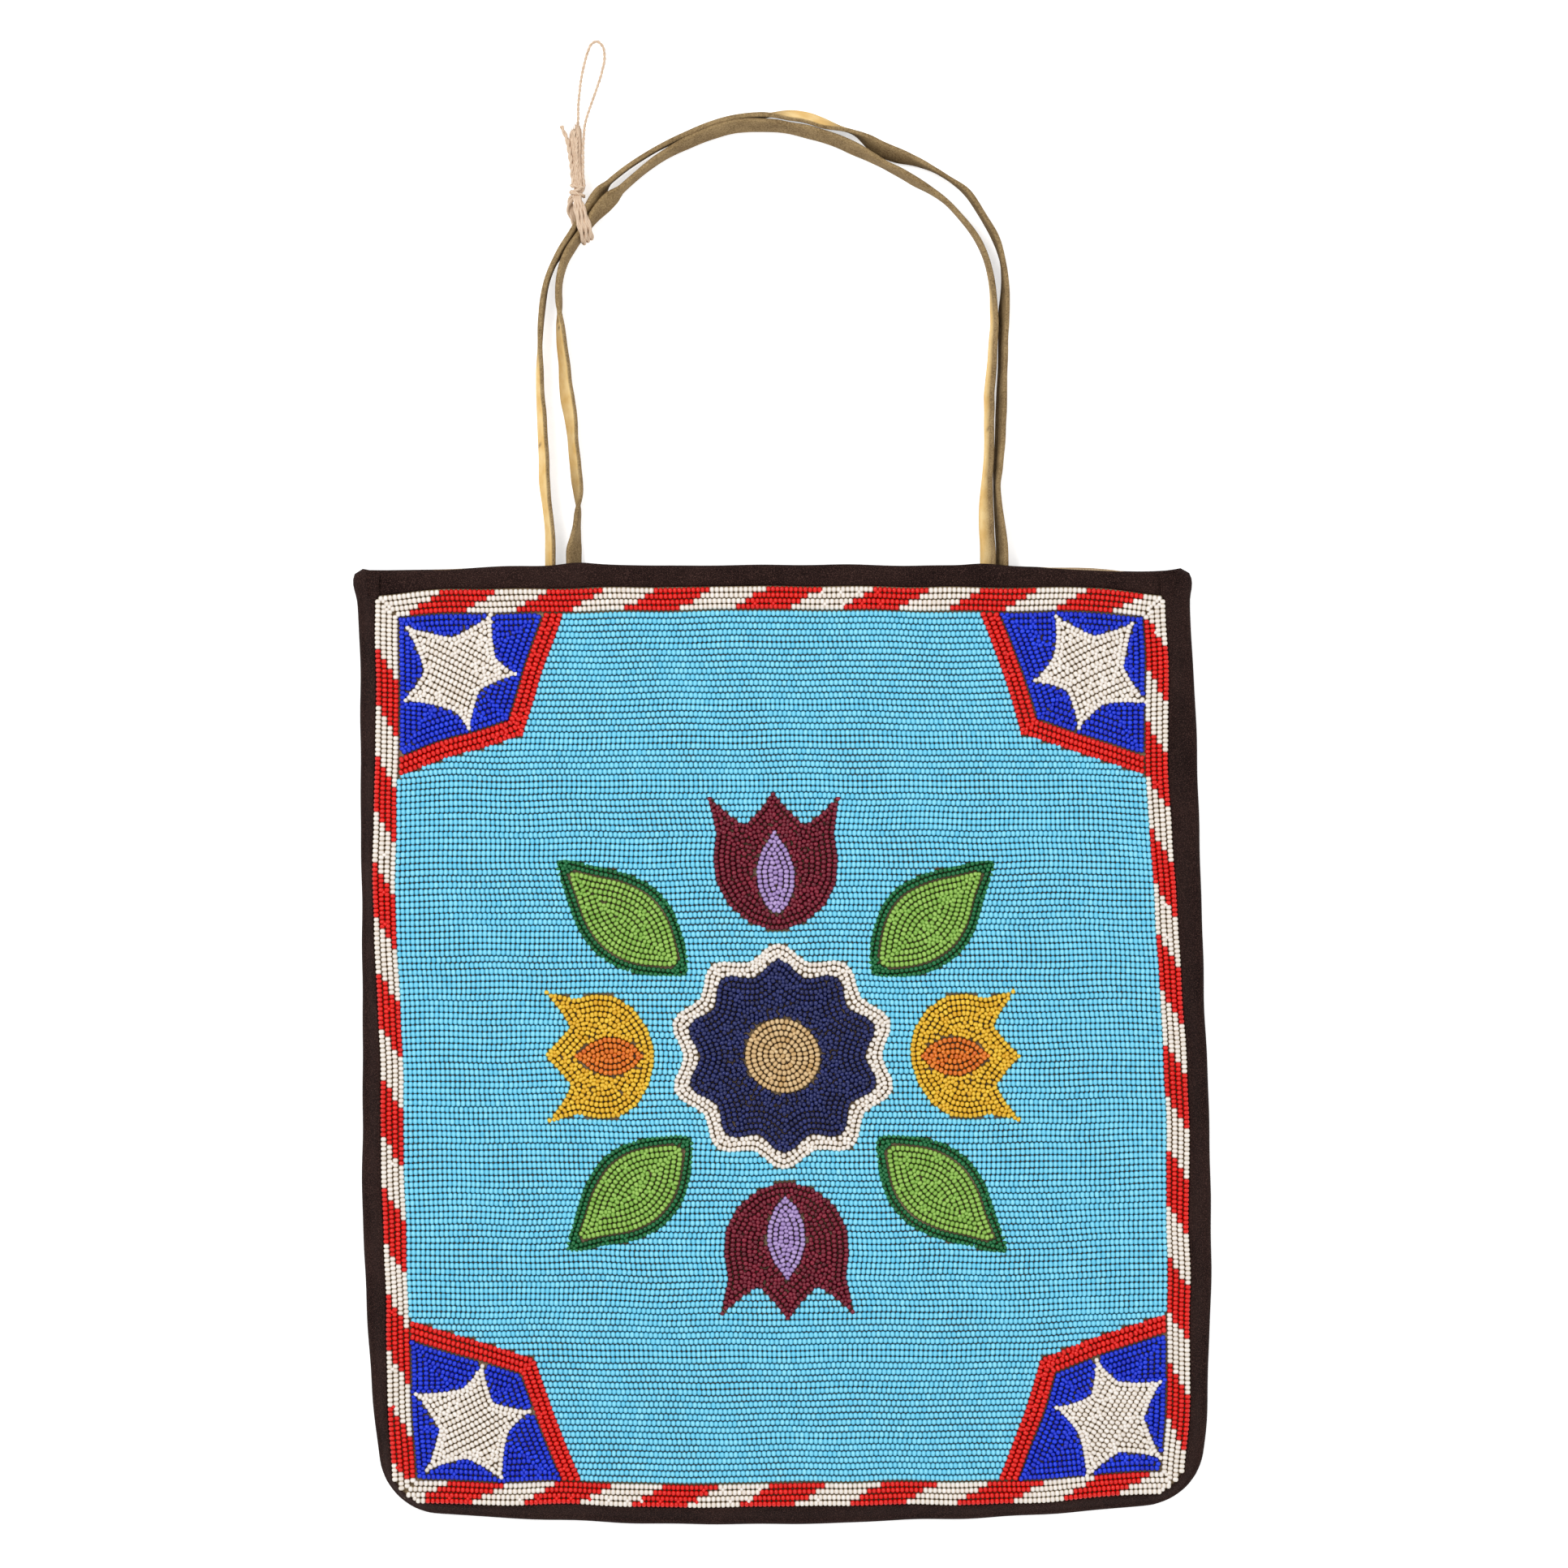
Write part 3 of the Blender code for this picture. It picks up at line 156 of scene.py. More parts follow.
# How each strap looks from above over its length, left root to right root: share, sway in millimetres, seen
# width in millimetres, 1 where its outer face looks up (0 where its inner one does), and how pale the outer
# and the inner face are
OUTER_STRAP = (
    (0.003, 0.9, 4.1, 1, 1, 0), (0.019, 1.1, 3.8, 1, 1, 0), (0.044, 1.3, 3.8, 1, 1, 0),
    (0.060, 1.3, 4.4, 1, 1, 0), (0.078, 0.6, 4.1, 1, 1, 0), (0.100, 0.3, 3.8, 1, 1, 0),
    (0.119, 0.0, 3.8, 1, 1, 0), (0.132, 0.2, 3.3, 1, 1, 0), (0.157, 0.0, 3.0, 1, 1, 0),
    (0.176, -0.1, 1.9, 1, 0.3, 0), (0.194, -0.1, 1.9, 0, 0, 0), (0.213, -0.2, 2.2, 0, 0, 0),
    (0.235, 0.0, 1.9, 0, 0, 0), (0.254, -0.3, 1.9, 0, 0, 0), (0.266, -1.0, 3.2, 0, 0, 0),
    (0.285, -1.0, 3.2, 0, 0, 0), (0.304, -0.3, 3.4, 0, 0, 0.3), (0.314, 0.3, 4.6, 0, 0, 0.9),
    (0.320, 0.7, 5.0, 0, 0, 0.2), (0.330, 1.1, 4.6, 0, 0, 0), (0.335, 1.6, 1.6, 0, 0, 0),
    (0.360, 1.2, 1.5, 0, 0, 0), (0.389, 0.5, 1.5, 0, 0, 0), (0.423, -0.8, 1.8, 0, 0, 0),
    (0.461, -0.9, 1.5, 0, 0, 0), (0.489, -1.7, 1.9, 0, 0, 0), (0.502, -1.5, 3.0, 1, 0.4, 0),
    (0.514, -1.1, 4.6, 1, 1, 0), (0.530, -0.7, 4.8, 1, 1, 0), (0.545, -1.4, 4.5, 1, 1, 0),
    (0.558, -1.4, 2.6, 1, 0.4, 0), (0.574, -0.9, 1.3, 0, 0, 0), (0.589, -2.1, 4.7, 0, 0, 0),
    (0.605, -2.3, 5.4, 0, 0, 0), (0.621, -1.0, 5.0, 0, 0, 0), (0.633, 0.6, 3.3, 0, 0, 0),
    (0.649, 1.9, 1.5, 0, 0, 0), (0.665, 2.8, 1.2, 0, 0, 0), (0.683, 4.1, 2.5, 0, 0, 0),
    (0.708, 3.1, 2.3, 0, 0, 0), (0.730, 3.1, 2.7, 0, 0, 0), (0.749, 2.4, 1.8, 0, 0, 0),
    (0.768, 1.2, 2.7, 0, 0, 0), (0.790, -0.3, 4.1, 0, 0, 0), (0.818, -0.9, 3.5, 0, 0, 0),
    (0.850, -0.9, 3.5, 0, 0, 0), (0.878, -0.5, 4.1, 0, 0, 0), (0.906, -0.6, 3.8, 0, 0, 0),
    (0.934, -1.5, 3.3, 0, 0, 0), (0.944, -2.1, 2.4, 0, 0, 0), (0.966, -2.1, 3.0, 0, 0, 0),
    (0.987, -1.7, 4.1, 0, 0, 0), (1.0, -1.2, 4.5, 0, 0, 0),
)
INNER_STRAP = (
    (0.0, 0.8, 5.6, 0, 0, 0), (0.003, 0.6, 4.9, 0, 0, 0), (0.020, -0.3, 2.7, 0, 0, 0),
    (0.033, -1.1, 2.5, 0, 0, 0), (0.046, -1.9, 3.5, 1, 0.4, 0), (0.062, -1.9, 4.6, 1, 0.6, 0),
    (0.082, -1.7, 4.4, 1, 1, 0), (0.101, -0.8, 4.1, 1, 1, 0), (0.124, -0.9, 5.2, 1, 1, 0),
    (0.137, -1.2, 5.5, 1, 1, 0), (0.163, -2.1, 4.6, 1, 1, 0), (0.183, -1.5, 4.4, 1, 1, 0),
    (0.206, -1.5, 3.3, 1, 1, 0), (0.225, -1.1, 2.5, 0, 0, 0), (0.245, 0.5, 2.4, 0, 0, 0),
    (0.265, 1.3, 2.9, 0, 0, 0), (0.275, 1.2, 3.3, 0, 0, 0), (0.294, 0.9, 3.2, 0, 0, 0),
    (0.310, 1.2, 3.7, 0, 0, 0), (0.327, 1.1, 5.7, 0, 0, 0), (0.340, 1.2, 5.2, 0, 0, 0),
    (0.344, 0.9, 2.7, 0, 0, 0), (0.366, 1.4, 2.5, 0, 0, 0), (0.392, 1.9, 3.0, 0, 0, 0),
    (0.422, 2.2, 4.2, 0, 0, 0), (0.461, 2.6, 5.0, 0, 0, 0), (0.490, 1.1, 4.6, 0, 0, 0),
    (0.516, 0.8, 4.0, 0, 0, 0), (0.533, 1.0, 4.5, 0, 0, 0), (0.562, 0.8, 4.4, 0, 0, 0),
    (0.575, 0.4, 4.6, 0, 0, 0), (0.591, 0.2, 3.6, 0, 0, 0), (0.608, 0.2, 2.6, 0, 0, 0),
    (0.624, 0.8, 3.2, 0, 0, 0), (0.641, 1.1, 3.1, 0, 0, 0), (0.658, 1.8, 2.1, 0, 0, 0),
    (0.673, 2.4, 1.6, 0, 0, 0), (0.690, 2.4, 1.7, 0, 0, 0), (0.716, 2.8, 2.1, 0, 0, 0),
    (0.735, 2.6, 2.0, 0, 0, 0), (0.758, 2.0, 2.1, 0, 0, 0.3), (0.781, 1.2, 2.7, 0, 0, 1),
    (0.810, 1.6, 3.2, 0, 0, 1), (0.840, 4.0, 3.7, 0, 0, 1), (0.873, 5.0, 3.8, 0, 0, 1),
    (0.902, 4.1, 3.5, 0, 0, 1), (0.935, 2.7, 3.8, 0, 0, 1), (0.964, 1.6, 5.2, 0, 0, 1),
    (0.987, 1.3, 5.5, 0, 0, 1), (1.0, 1.8, 5.5, 0, 0, 1),
)

# The stars of the corner blocks, tips and inner corners in turn, in millimetres as the bag lies
STARS = {
    "top_left": ((-97.4, 145.1), (-96.0, 130.1), (-88.6, 124.4), (-101.4, 118.9), (-105.0, 105.5),
                 (-110.2, 111.8), (-127.1, 115.1), (-120.3, 125.4), (-126.3, 140.4), (-110.7, 136.9)),
    "top_right": ((91.8, 144.5), (104.9, 137.5), (118.3, 141.9), (115.2, 126.5), (123.2, 114.5),
                  (108.2, 114.0), (99.8, 105.6), (95.8, 118.7), (84.5, 122.2), (91.3, 130.7)),
    "bottom_left": ((-100.4, -107.4), (-96.8, -120.3), (-84.0, -123.3), (-91.8, -130.8), (-93.8, -146.2),
                    (-105.8, -139.5), (-119.7, -143.7), (-115.2, -129.4), (-123.6, -117.2), (-107.4, -115.5)),
    "bottom_right": ((105.7, -105.4), (113.3, -113.2), (127.9, -113.0), (122.0, -125.6), (127.9, -139.5),
                     (113.5, -137.3), (102.3, -145.8), (99.9, -131.7), (91.6, -122.0), (103.8, -118.1)),
}

# Unevenness of the sewn front: how far beads stray, how far apart, and the swell of the slack cloth
STRAY_X, STRAY_X_HILLS = 0.00022, 0.031
STRAY_Y, STRAY_Y_HILLS = 0.00028, 0.037
SLACK_HEIGHT, SLACK_HILLS, SLACK_MARGIN = 0.00045, 0.085, 0.03
EASING_SAMPLES, EASING_WINDOW = 241, 17

# A bead of length and width 1: its drum's length, and how far its ends are inset and pushed out
BEAD_DRUM, BEAD_END_INSET, BEAD_END_DOME = 0.34, 0.17, 0.30
BEAD_FILL = 1.06
LENGTH_SPREAD, WIDTH_SPREAD, HEIGHT_SPREAD, TONE_SPREAD, LIFT_SPREAD = 0.03, 0.022, 0.03, 0.2, 0.00005
# Painted shade on each bead: the height on its flank where the shade starts to lift, the height over which it
# fades, and the share of the bead's own colour that its ends keep
SHADE_LIFT_START, SHADE_LIFT_SPAN, END_SHADE = 0.02, 0.30, 0.4
SHORTEST_BEAD = 0.55
SCAN_STEP = 0.0001
TUCK_DEPTH = 0.0003
PATCH_STEP, BARE_SHARE = 0.0003, 0.6
BORDER_PITCH = 0.00195
LEAST_SPACING = 0.00118
FIELD_TUCK = 0.00055
FIELD_PARTS = 5
# A bead's cell of the texture: its round ends, and its side unrolled with room for the seam
CELL_ENDS, CELL_END_WIDE, CELL_END_HIGH = (0.07, 0.93), 0.05, 0.4
CELL_SIDE_START, CELL_SIDE_WIDE = 0.16, 0.68
CELL_TURN_START, CELL_TURN_HIGH, CELL_TURN_ROOM = 0.02, 0.96, 1.13

# The folded binding: its reach on each face, the height of its upper leaf and where that leaf starts
STATION_STEP = 0.0018
BINDING_REACH, BINDING_TOP, LEAF_LEVEL = 0.0062, 0.0051, 0.0048
# Its ears at the mouth: their length and where they start, their rounding, height, width and bulge
EAR_LENGTH, EAR_START = 0.0105, 0.003
EAR_ROUNDING, CORNER_ROUNDING, EAR_TURN_IN = 0.0024, 0.0030, 0.0026
EAR_HEIGHT, EAR_SPREAD = 0.0007, 0.38
BULGE, BULGE_PLACE, BULGE_LENGTH = 0.0010, 0.0050, 0.0040

# The hems: cloth thickness, reach under the binding, sections, and how the straps push them up
HEM_THICKNESS, HEM_OVERLAP, HEM_SECTIONS = 0.0006, 0.0024, 170
HEM_END_SINK, HEM_END_START, HEM_END_RUN = 0.0011, 0.0060, 0.004
STRAP_PUSH, STRAP_PUSH_WIDTH = 0.0009, 0.007

# Sections over which a strap turns flat inside the mouth: how many it keeps first, and how many it takes
STILL_SECTIONS, TURNING_SECTIONS = 5, 6

# Light that the floor gives off towards the camera, so that it meets the white ground
FLOOR_LIFT = 0.5


def linear(code):
    """An sRGB hex colour as linear red, green, blue and alpha."""
    shares = [int(code[at:at + 2], 16) / 255 for at in (1, 3, 5)]
    return [s / 12.92 if s <= 0.04045 else ((s + 0.055) / 1.055) ** 2.4 for s in shares] + [1.0]


def eased(table, at):
    """A table of millimetres read at places in metres, with its corners softened."""
    places, offsets = np.array(table).T
    fine = np.linspace(places[0], places[-1], EASING_SAMPLES)
    padded = np.pad(np.interp(fine, places, offsets), EASING_WINDOW // 2, mode="edge")
    soft = np.convolve(padded, np.full(EASING_WINDOW, 1 / EASING_WINDOW), "valid")
    return np.interp(np.asarray(at) / MM, fine, soft) * MM


def ripple(x, y, size, phase):
    """Smooth unevenness between about -1 and 1, with hills as far apart as size."""
    total = np.zeros_like(x)
    for turn, share in ((0.3, 1.0), (1.4, 0.83), (2.5, 1.21), (3.7, 0.67)):
        along = x * math.cos(turn) + y * math.sin(turn)
        total += np.sin(along * 2 * math.pi / (size * share) + phase * (1 + turn))
    return total / 3


def shifted(x, y, left, right, top, bottom):
    """How far a place moves when the straight edges move as their tables say, fading inwards."""
    tilt = POUCH_LEAN * y / POUCH_HEIGHT
    u = np.clip((x + tilt) / POUCH_WIDTH + 0.5, 0, 1)
    v = np.clip(y / POUCH_HEIGHT + 0.5, 0, 1)
    dx = eased(left, y) * (1 - u) ** 2 + eased(right, y) * u ** 2
    dy = eased(bottom, x) * (1 - v) ** 2 + eased(top, x) * v ** 2
    return dx, dy


def settled(points, edging=0.0):
    """Places on the pouch moved as the real bag lies. Edging is 0 on the beads and 1 at the pouch's edge."""
    x, y = points[..., 0], points[..., 1]
    bead = shifted(x, y, BEADS_LEFT, BEADS_RIGHT, BEADS_UPPER, BEADS_LOWER)
    edge = shifted(x, y, POUCH_LEFT, POUCH_RIGHT, POUCH_TOP, POUCH_BOTTOM)
    moved = np.array(points, float)
    moved[..., 0] += bead[0] + (edge[0] - bead[0]) * edging + STRAY_X * ripple(x, y, STRAY_X_HILLS, 1.0)
    moved[..., 1] += bead[1] + (edge[1] - bead[1]) * edging + STRAY_Y * ripple(x, y, STRAY_Y_HILLS, 2.0)
    return moved


def laid(places):
    """Places measured on the bag as it lies, in millimetres, taken back to where settled() starts from."""
    wanted = np.array(places, float) * MM
    wanted = np.column_stack((wanted, np.zeros(len(wanted))))
    start = wanted.copy()
    for _ in range(6):
        start += wanted - settled(start)
    return start[:, :2]


def swell(x, y):
    """How far the slack front rises and sinks, none at the bound edge."""
    slack = np.clip((POUCH_WIDTH / 2 - np.abs(x)) / SLACK_MARGIN, 0, 1)
    slack = slack * np.clip((POUCH_HEIGHT / 2 - np.abs(y)) / SLACK_MARGIN, 0, 1)
    return SLACK_HEIGHT * ripple(x, y, SLACK_HILLS, 0.5) * slack


def add(tree, kind, inputs=(), **settings):
    """A node with its settings, and its inputs set to values or linked from other nodes' outputs."""
    node = tree.nodes.new(kind)
    for name, value in settings.items():
        setattr(node, name, value)
    for name, value in dict(inputs).items():
        if isinstance(value, bpy.types.NodeSocket):
            tree.links.new(value, node.inputs[name])
        else:
            node.inputs[name].default_value = value
    return node


def start_material(name):
    """An empty material with its shader."""
    material = bpy.data.materials.new(name)
    material.use_nodes = True
    tree = material.node_tree
    tree.nodes.clear()
    shader = add(tree, "ShaderNodeBsdfPrincipled")
    add(tree, "ShaderNodeOutputMaterial", {"Surface": shader.outputs["BSDF"]})
    return material, tree, shader


def seed_glass(name, pale, deep, gap):
    """Seed beads: cut from drawn glass tube and tumbled in heat. Each bead's colour differs a little, and its
    flanks and ends are painted with shade in the colour of the gaps; its one small bright light comes from
    the lamps."""
    material, tree, shader = start_material(name)
    tone = add(tree, "ShaderNodeAttribute", attribute_name="tone")
    unshaded_share = add(tree, "ShaderNodeAttribute", attribute_name="unshaded_share")
    place = add(tree, "ShaderNodeTexCoord")
    # Faint streaks in the drawn glass, 0.4 mm apart
    streaks = add(tree, "ShaderNodeTexNoise",
                  {"Vector": place.outputs["Object"], "Scale": 2500.0, "Detail": 2.0})
    blend = add(tree, "ShaderNodeMath", {0: streaks.outputs["Fac"], 1: 0.35, 2: -0.17},
                operation="MULTIPLY_ADD")
    share = add(tree, "ShaderNodeMath", {0: tone.outputs["Fac"], 1: blend.outputs[0]}, operation="ADD",
                use_clamp=True)
    glass = add(tree, "ShaderNodeMix", {0: share.outputs[0], 6: deep, 7: pale}, data_type="RGBA")
    # Painted shade: low on the flanks and at the ends, the bead's colour gives way to the gap colour, which
    # stands in for the shade between beads
    sunk = add(tree, "ShaderNodeMix", {0: unshaded_share.outputs["Fac"], 6: gap, 7: glass.outputs[2]},
               data_type="RGBA")
    tree.links.new(sunk.outputs[2], shader.inputs["Base Color"])
    shader.inputs["Roughness"].default_value = 0.2
    shader.inputs["IOR"].default_value = 1.5
    shader.inputs["Specular IOR Level"].default_value = 0.35
    return material


def broadcloth(name, cloth, worn):
    """Broadcloth: woven wool, fulled and napped. The nap hides the weave, leaves pale fibre ends and has no
    shine."""
    material, tree, shader = start_material(name)
    place = add(tree, "ShaderNodeTexCoord").outputs["Object"]
    # Fibre ends stand about 0.3 mm apart
    fibres = add(tree, "ShaderNodeTexNoise",
                 {"Vector": place, "Scale": 3300.0, "Detail": 2.0, "Roughness": 0.6})
    patches = add(tree, "ShaderNodeTexNoise", {"Vector": place, "Scale": 55.0, "Detail": 3.0})
    # Twill lines 1.1 mm apart, almost hidden by the nap
    twill = add(tree, "ShaderNodeTexWave", {"Vector": place, "Scale": 290.0, "Distortion": 3.0, "Detail": 2.0,
                                            "Detail Scale": 6.0}, bands_direction="DIAGONAL")
    flecks = add(tree, "ShaderNodeMapRange",
                 {"Value": fibres.outputs["Fac"], "From Min": 0.50, "From Max": 0.74})
    shade = add(tree, "ShaderNodeMath", {0: patches.outputs["Fac"], 1: 0.4, 2: -0.12},
                operation="MULTIPLY_ADD")
    share = add(tree, "ShaderNodeMath", {0: flecks.outputs[0], 1: 1.0, 2: shade.outputs[0]},
                operation="MULTIPLY_ADD", use_clamp=True)
    tint = add(tree, "ShaderNodeMix", {0: share.outputs[0], 6: cloth, 7: worn}, data_type="RGBA")
    tree.links.new(tint.outputs[2], shader.inputs["Base Color"])
    height = add(tree, "ShaderNodeMath", {0: twill.outputs["Fac"], 1: 0.5, 2: fibres.outputs["Fac"]},
                 operation="MULTIPLY_ADD")
    bump = add(tree, "ShaderNodeBump", {"Height": height.outputs[0], "Strength": 0.5, "Distance": 0.00022})
    tree.links.new(bump.outputs["Normal"], shader.inputs["Normal"])
    shader.inputs["Roughness"].default_value = 0.95
    shader.inputs["Specular IOR Level"].default_value = 0.1
    return material


def plain_weave(name, warp, weft, pitch):
    """Cotton in plain weave: warp and weft pass over and under, so the surface is a fine checked grain."""
    material, tree, shader = start_material(name)
    place = add(tree, "ShaderNodeTexCoord").outputs["Object"]
    scale = math.pi / (pitch * 10)
    threads = {"Vector": place, "Scale": scale, "Distortion": 0.6, "Detail": 1.0}
    across = add(tree, "ShaderNodeTexWave", threads, bands_direction="X")
    along = add(tree, "ShaderNodeTexWave", threads, bands_direction="Y")
    slubs = add(tree, "ShaderNodeTexNoise", {"Vector": place, "Scale": 400.0, "Detail": 3.0})
    weave = add(tree, "ShaderNodeMath", {0: across.outputs["Fac"], 1: along.outputs["Fac"]},
                operation="MULTIPLY")
    share = add(tree, "ShaderNodeMath", {0: weave.outputs[0], 1: slubs.outputs["Fac"]}, operation="ADD",
                use_clamp=True)
    tint = add(tree, "ShaderNodeMix", {0: share.outputs[0], 6: weft, 7: warp}, data_type="RGBA")
    tree.links.new(tint.outputs[2], shader.inputs["Base Color"])
    bump = add(tree, "ShaderNodeBump", {"Height": weave.outputs[0], "Strength": 0.4, "Distance": 0.0002})
    tree.links.new(bump.outputs["Normal"], shader.inputs["Normal"])
    shader.inputs["Roughness"].default_value = 0.9
    return material


def suede(name, nap, dark, grain, grain_deep):
    """Buckskin thong: brain-tanned and napped on its flesh side and edges, smoother and golden on its grain
    side."""
    material, tree, shader = start_material(name)
    place = add(tree, "ShaderNodeTexCoord").outputs["Object"]
    side = add(tree, "ShaderNodeAttribute", attribute_name="grain")
    # Nap flecks 0.5 mm across and handling stains 6 mm across
    flecks = add(tree, "ShaderNodeTexNoise",
                 {"Vector": place, "Scale": 2000.0, "Detail": 3.0, "Roughness": 0.7})
    stains = add(tree, "ShaderNodeTexNoise", {"Vector": place, "Scale": 160.0, "Detail": 3.0})
    spread = add(tree, "ShaderNodeMapRange",
                 {"Value": flecks.outputs["Fac"], "From Min": 0.34, "From Max": 0.66})
    cloud = add(tree, "ShaderNodeMapRange",
                {"Value": stains.outputs["Fac"], "From Min": 0.35, "From Max": 0.68})
    share = add(tree, "ShaderNodeMix", {0: 0.3, 2: spread.outputs[0], 3: cloud.outputs[0]}, data_type="FLOAT")
    napped = add(tree, "ShaderNodeMix", {0: share.outputs[0], 6: dark, 7: nap}, data_type="RGBA")
    smooth = add(tree, "ShaderNodeMix", {0: cloud.outputs[0], 6: grain_deep, 7: grain}, data_type="RGBA")
    both = add(tree, "ShaderNodeMix", {0: side.outputs["Fac"], 6: napped.outputs[2], 7: smooth.outputs[2]},
               data_type="RGBA")
    tree.links.new(both.outputs[2], shader.inputs["Base Color"])
    bump = add(tree, "ShaderNodeBump",
               {"Height": flecks.outputs["Fac"], "Strength": 0.5, "Distance": 0.00025})
    tree.links.new(bump.outputs["Normal"], shader.inputs["Normal"])
    shader.inputs["Roughness"].default_value = 0.88
    shader.inputs["Specular IOR Level"].default_value = 0.2
    return material


def hemp(name, fibre, shadow):
    """Two-ply hemp twine: long bast fibres twisted together, so pale streaks run along each ply."""
    material, tree, shader = start_material(name)
    place = add(tree, "ShaderNodeUVMap", uv_map="Ply")
    # Streaks 0.12 mm wide round the ply and 2 mm long
    stretch = add(tree, "ShaderNodeMapping", {"Vector": place.outputs["UV"], "Scale": (8000.0, 500.0, 1.0)})
    streaks = add(tree, "ShaderNodeTexNoise",
                  {"Vector": stretch.outputs["Vector"], "Scale": 1.0, "Detail": 3.0})
    spread = add(tree, "ShaderNodeMapRange",
                 {"Value": streaks.outputs["Fac"], "From Min": 0.32, "From Max": 0.62})
    tint = add(tree, "ShaderNodeMix", {0: spread.outputs[0], 6: shadow, 7: fibre}, data_type="RGBA")
    tree.links.new(tint.outputs[2], shader.inputs["Base Color"])
    bump = add(tree, "ShaderNodeBump",
               {"Height": streaks.outputs["Fac"], "Strength": 0.6, "Distance": 0.00008})
    tree.links.new(bump.outputs["Normal"], shader.inputs["Normal"])
    shader.inputs["Roughness"].default_value = 0.85
    return material


def background_rays(tree):
    """1 where the camera sees the background, itself or mirrored in the beads."""
    rays = add(tree, "ShaderNodeLightPath")
    seen = rays.outputs["Is Camera Ray"]
    for kind in ("Is Glossy Ray", "Is Transmission Ray"):
        either = add(tree, "ShaderNodeMath", {0: seen, 1: rays.outputs[kind]}, operation="ADD",
                     use_clamp=True)
        seen = either.outputs[0]
    return seen


def studio_floor(name, tone, lift):
    """Matt paper sweep. The camera sees it a little brighter than it is lit, so that it meets the white
    ground."""
    material, tree, shader = start_material(name)
    place = add(tree, "ShaderNodeTexCoord").outputs["Object"]
    grain = add(tree, "ShaderNodeTexNoise", {"Vector": place, "Scale": 300.0, "Detail": 2.0})
    tint = add(tree, "ShaderNodeMix", {0: grain.outputs["Fac"], 6: tone, 7: linear("#ffffff")},
               data_type="RGBA")
    tree.links.new(tint.outputs[2], shader.inputs["Base Color"])
    shader.inputs["Roughness"].default_value = 0.9
    shader.inputs["Specular IOR Level"].default_value = 0.0
    seen = add(tree, "ShaderNodeMath", {0: background_rays(tree), 1: lift}, operation="MULTIPLY")
    tree.links.new(seen.outputs[0], shader.inputs["Emission Strength"])
    shader.inputs["Emission Color"].default_value = (1.0, 1.0, 1.0, 1.0)
    return material


def clear_selection():
    """Leaves nothing selected, because an operator acts on all that is."""
    if bpy.context.object and bpy.context.object.mode != "OBJECT":
        bpy.ops.object.mode_set(mode="OBJECT")
    bpy.ops.object.select_all(action="DESELECT")


def merged(node):
    """A copy of a CAD node's mesh with its loose triangles joined and numbered again. The caller frees it."""
    bm = bmesh.new()
    bm.from_mesh(frame["nodes"][node].data)
    bmesh.ops.remove_doubles(bm, verts=bm.verts, dist=2e-6)
    bm.normal_update()
    bm.verts.index_update()
    bm.edges.index_update()
    return bm


def outlines(node, top=False):
    """The closed outlines of a plate's under side, or of its highest faces, longest first."""
    bm = merged(node)
    level = (max if top else min)(vertex.co.z for vertex in bm.verts)
    flat = {face for face in bm.faces if all(abs(vertex.co.z - level) < 2e-5 for vertex in face.verts)}
    left = {edge for edge in bm.edges if sum(face in flat for face in edge.link_faces) == 1}
    loops = []
    while left:
        # A set keeps no order, so each loop starts at its edge with the lowest number, the same in every run
        edge = min(left, key=lambda one: one.index)
        left.discard(edge)
        chain = [edge.verts[0], edge.verts[1]]
        while chain[-1] is not chain[0]:
            edge = next(near for near in chain[-1].link_edges if near in left)
            left.discard(edge)
            chain.append(edge.other_vert(chain[-1]))
        loops.append(np.array([vertex.co.xy for vertex in chain[:-1]]))
    bm.free()
    return sorted(loops, key=lambda loop: -np.abs(np.roll(loop, -1, 0) - loop).sum())


def section_middles(node, sides):
    """The middles of a swept node's sections, in order from one end to the other."""
    bm = merged(node)
    cap = None
    for face in bm.faces:
        group, waiting = {face}, [face]
        while waiting:
            for edge in waiting.pop().edges:
                for near in edge.link_faces:
                    if near not in group and near.normal.dot(face.normal) > 0.9999:
                        group.add(near)
                        waiting.append(near)
        corners = {vertex for near in group for vertex in near.verts}
        if len(corners) != sides or len(group) != sides - 2:
            continue
        rim = [edge for vertex in corners for edge in vertex.link_edges
               if sum(near in group for near in edge.link_faces) == 1]
        turns = []
        for vertex in corners:
            a, b = [edge.other_vert(vertex).co - vertex.co for edge in set(rim) if vertex in edge.verts]
            turns.append(a.angle(b))
        if max(turns) < math.pi - 0.3:
            cap = corners
            break
    if cap is None:
        raise RuntimeError(f"no end found on {node}")
    seen, ring, middles = set(cap), cap, []
    while ring:
        # Added up by number, so that the last digits are the same in every run
        places = [vertex.co for vertex in sorted(ring, key=lambda one: one.index)]
        middles.append(sum(places, Vector()) / len(places))
        ring = {edge.other_vert(vertex) for vertex in ring for edge in vertex.link_edges} - seen
        seen |= ring
    bm.free()
    return np.array(middles)


def flow(points, step):
    """A smooth line through points, resampled at about equal steps."""
    points = np.array(points, float)
    run = np.concatenate(([0], np.cumsum(np.linalg.norm(np.diff(points, axis=0), axis=1))))
    slopes = np.gradient(points, run, axis=0)
    count = max(4, int(round(run[-1] / step)) + 1)
    at = np.linspace(0, run[-1], count)
    low = np.clip(np.searchsorted(run, at, side="right") - 1, 0, len(run) - 2)
    gap = (run[low + 1] - run[low])[:, None]
    s = (at[:, None] - run[low][:, None]) / gap
    return ((1 + 2 * s) * (1 - s) ** 2 * points[low] + s * (1 - s) ** 2 * gap * slopes[low]
            + s * s * (3 - 2 * s) * points[low + 1] + s * s * (s - 1) * gap * slopes[low + 1])


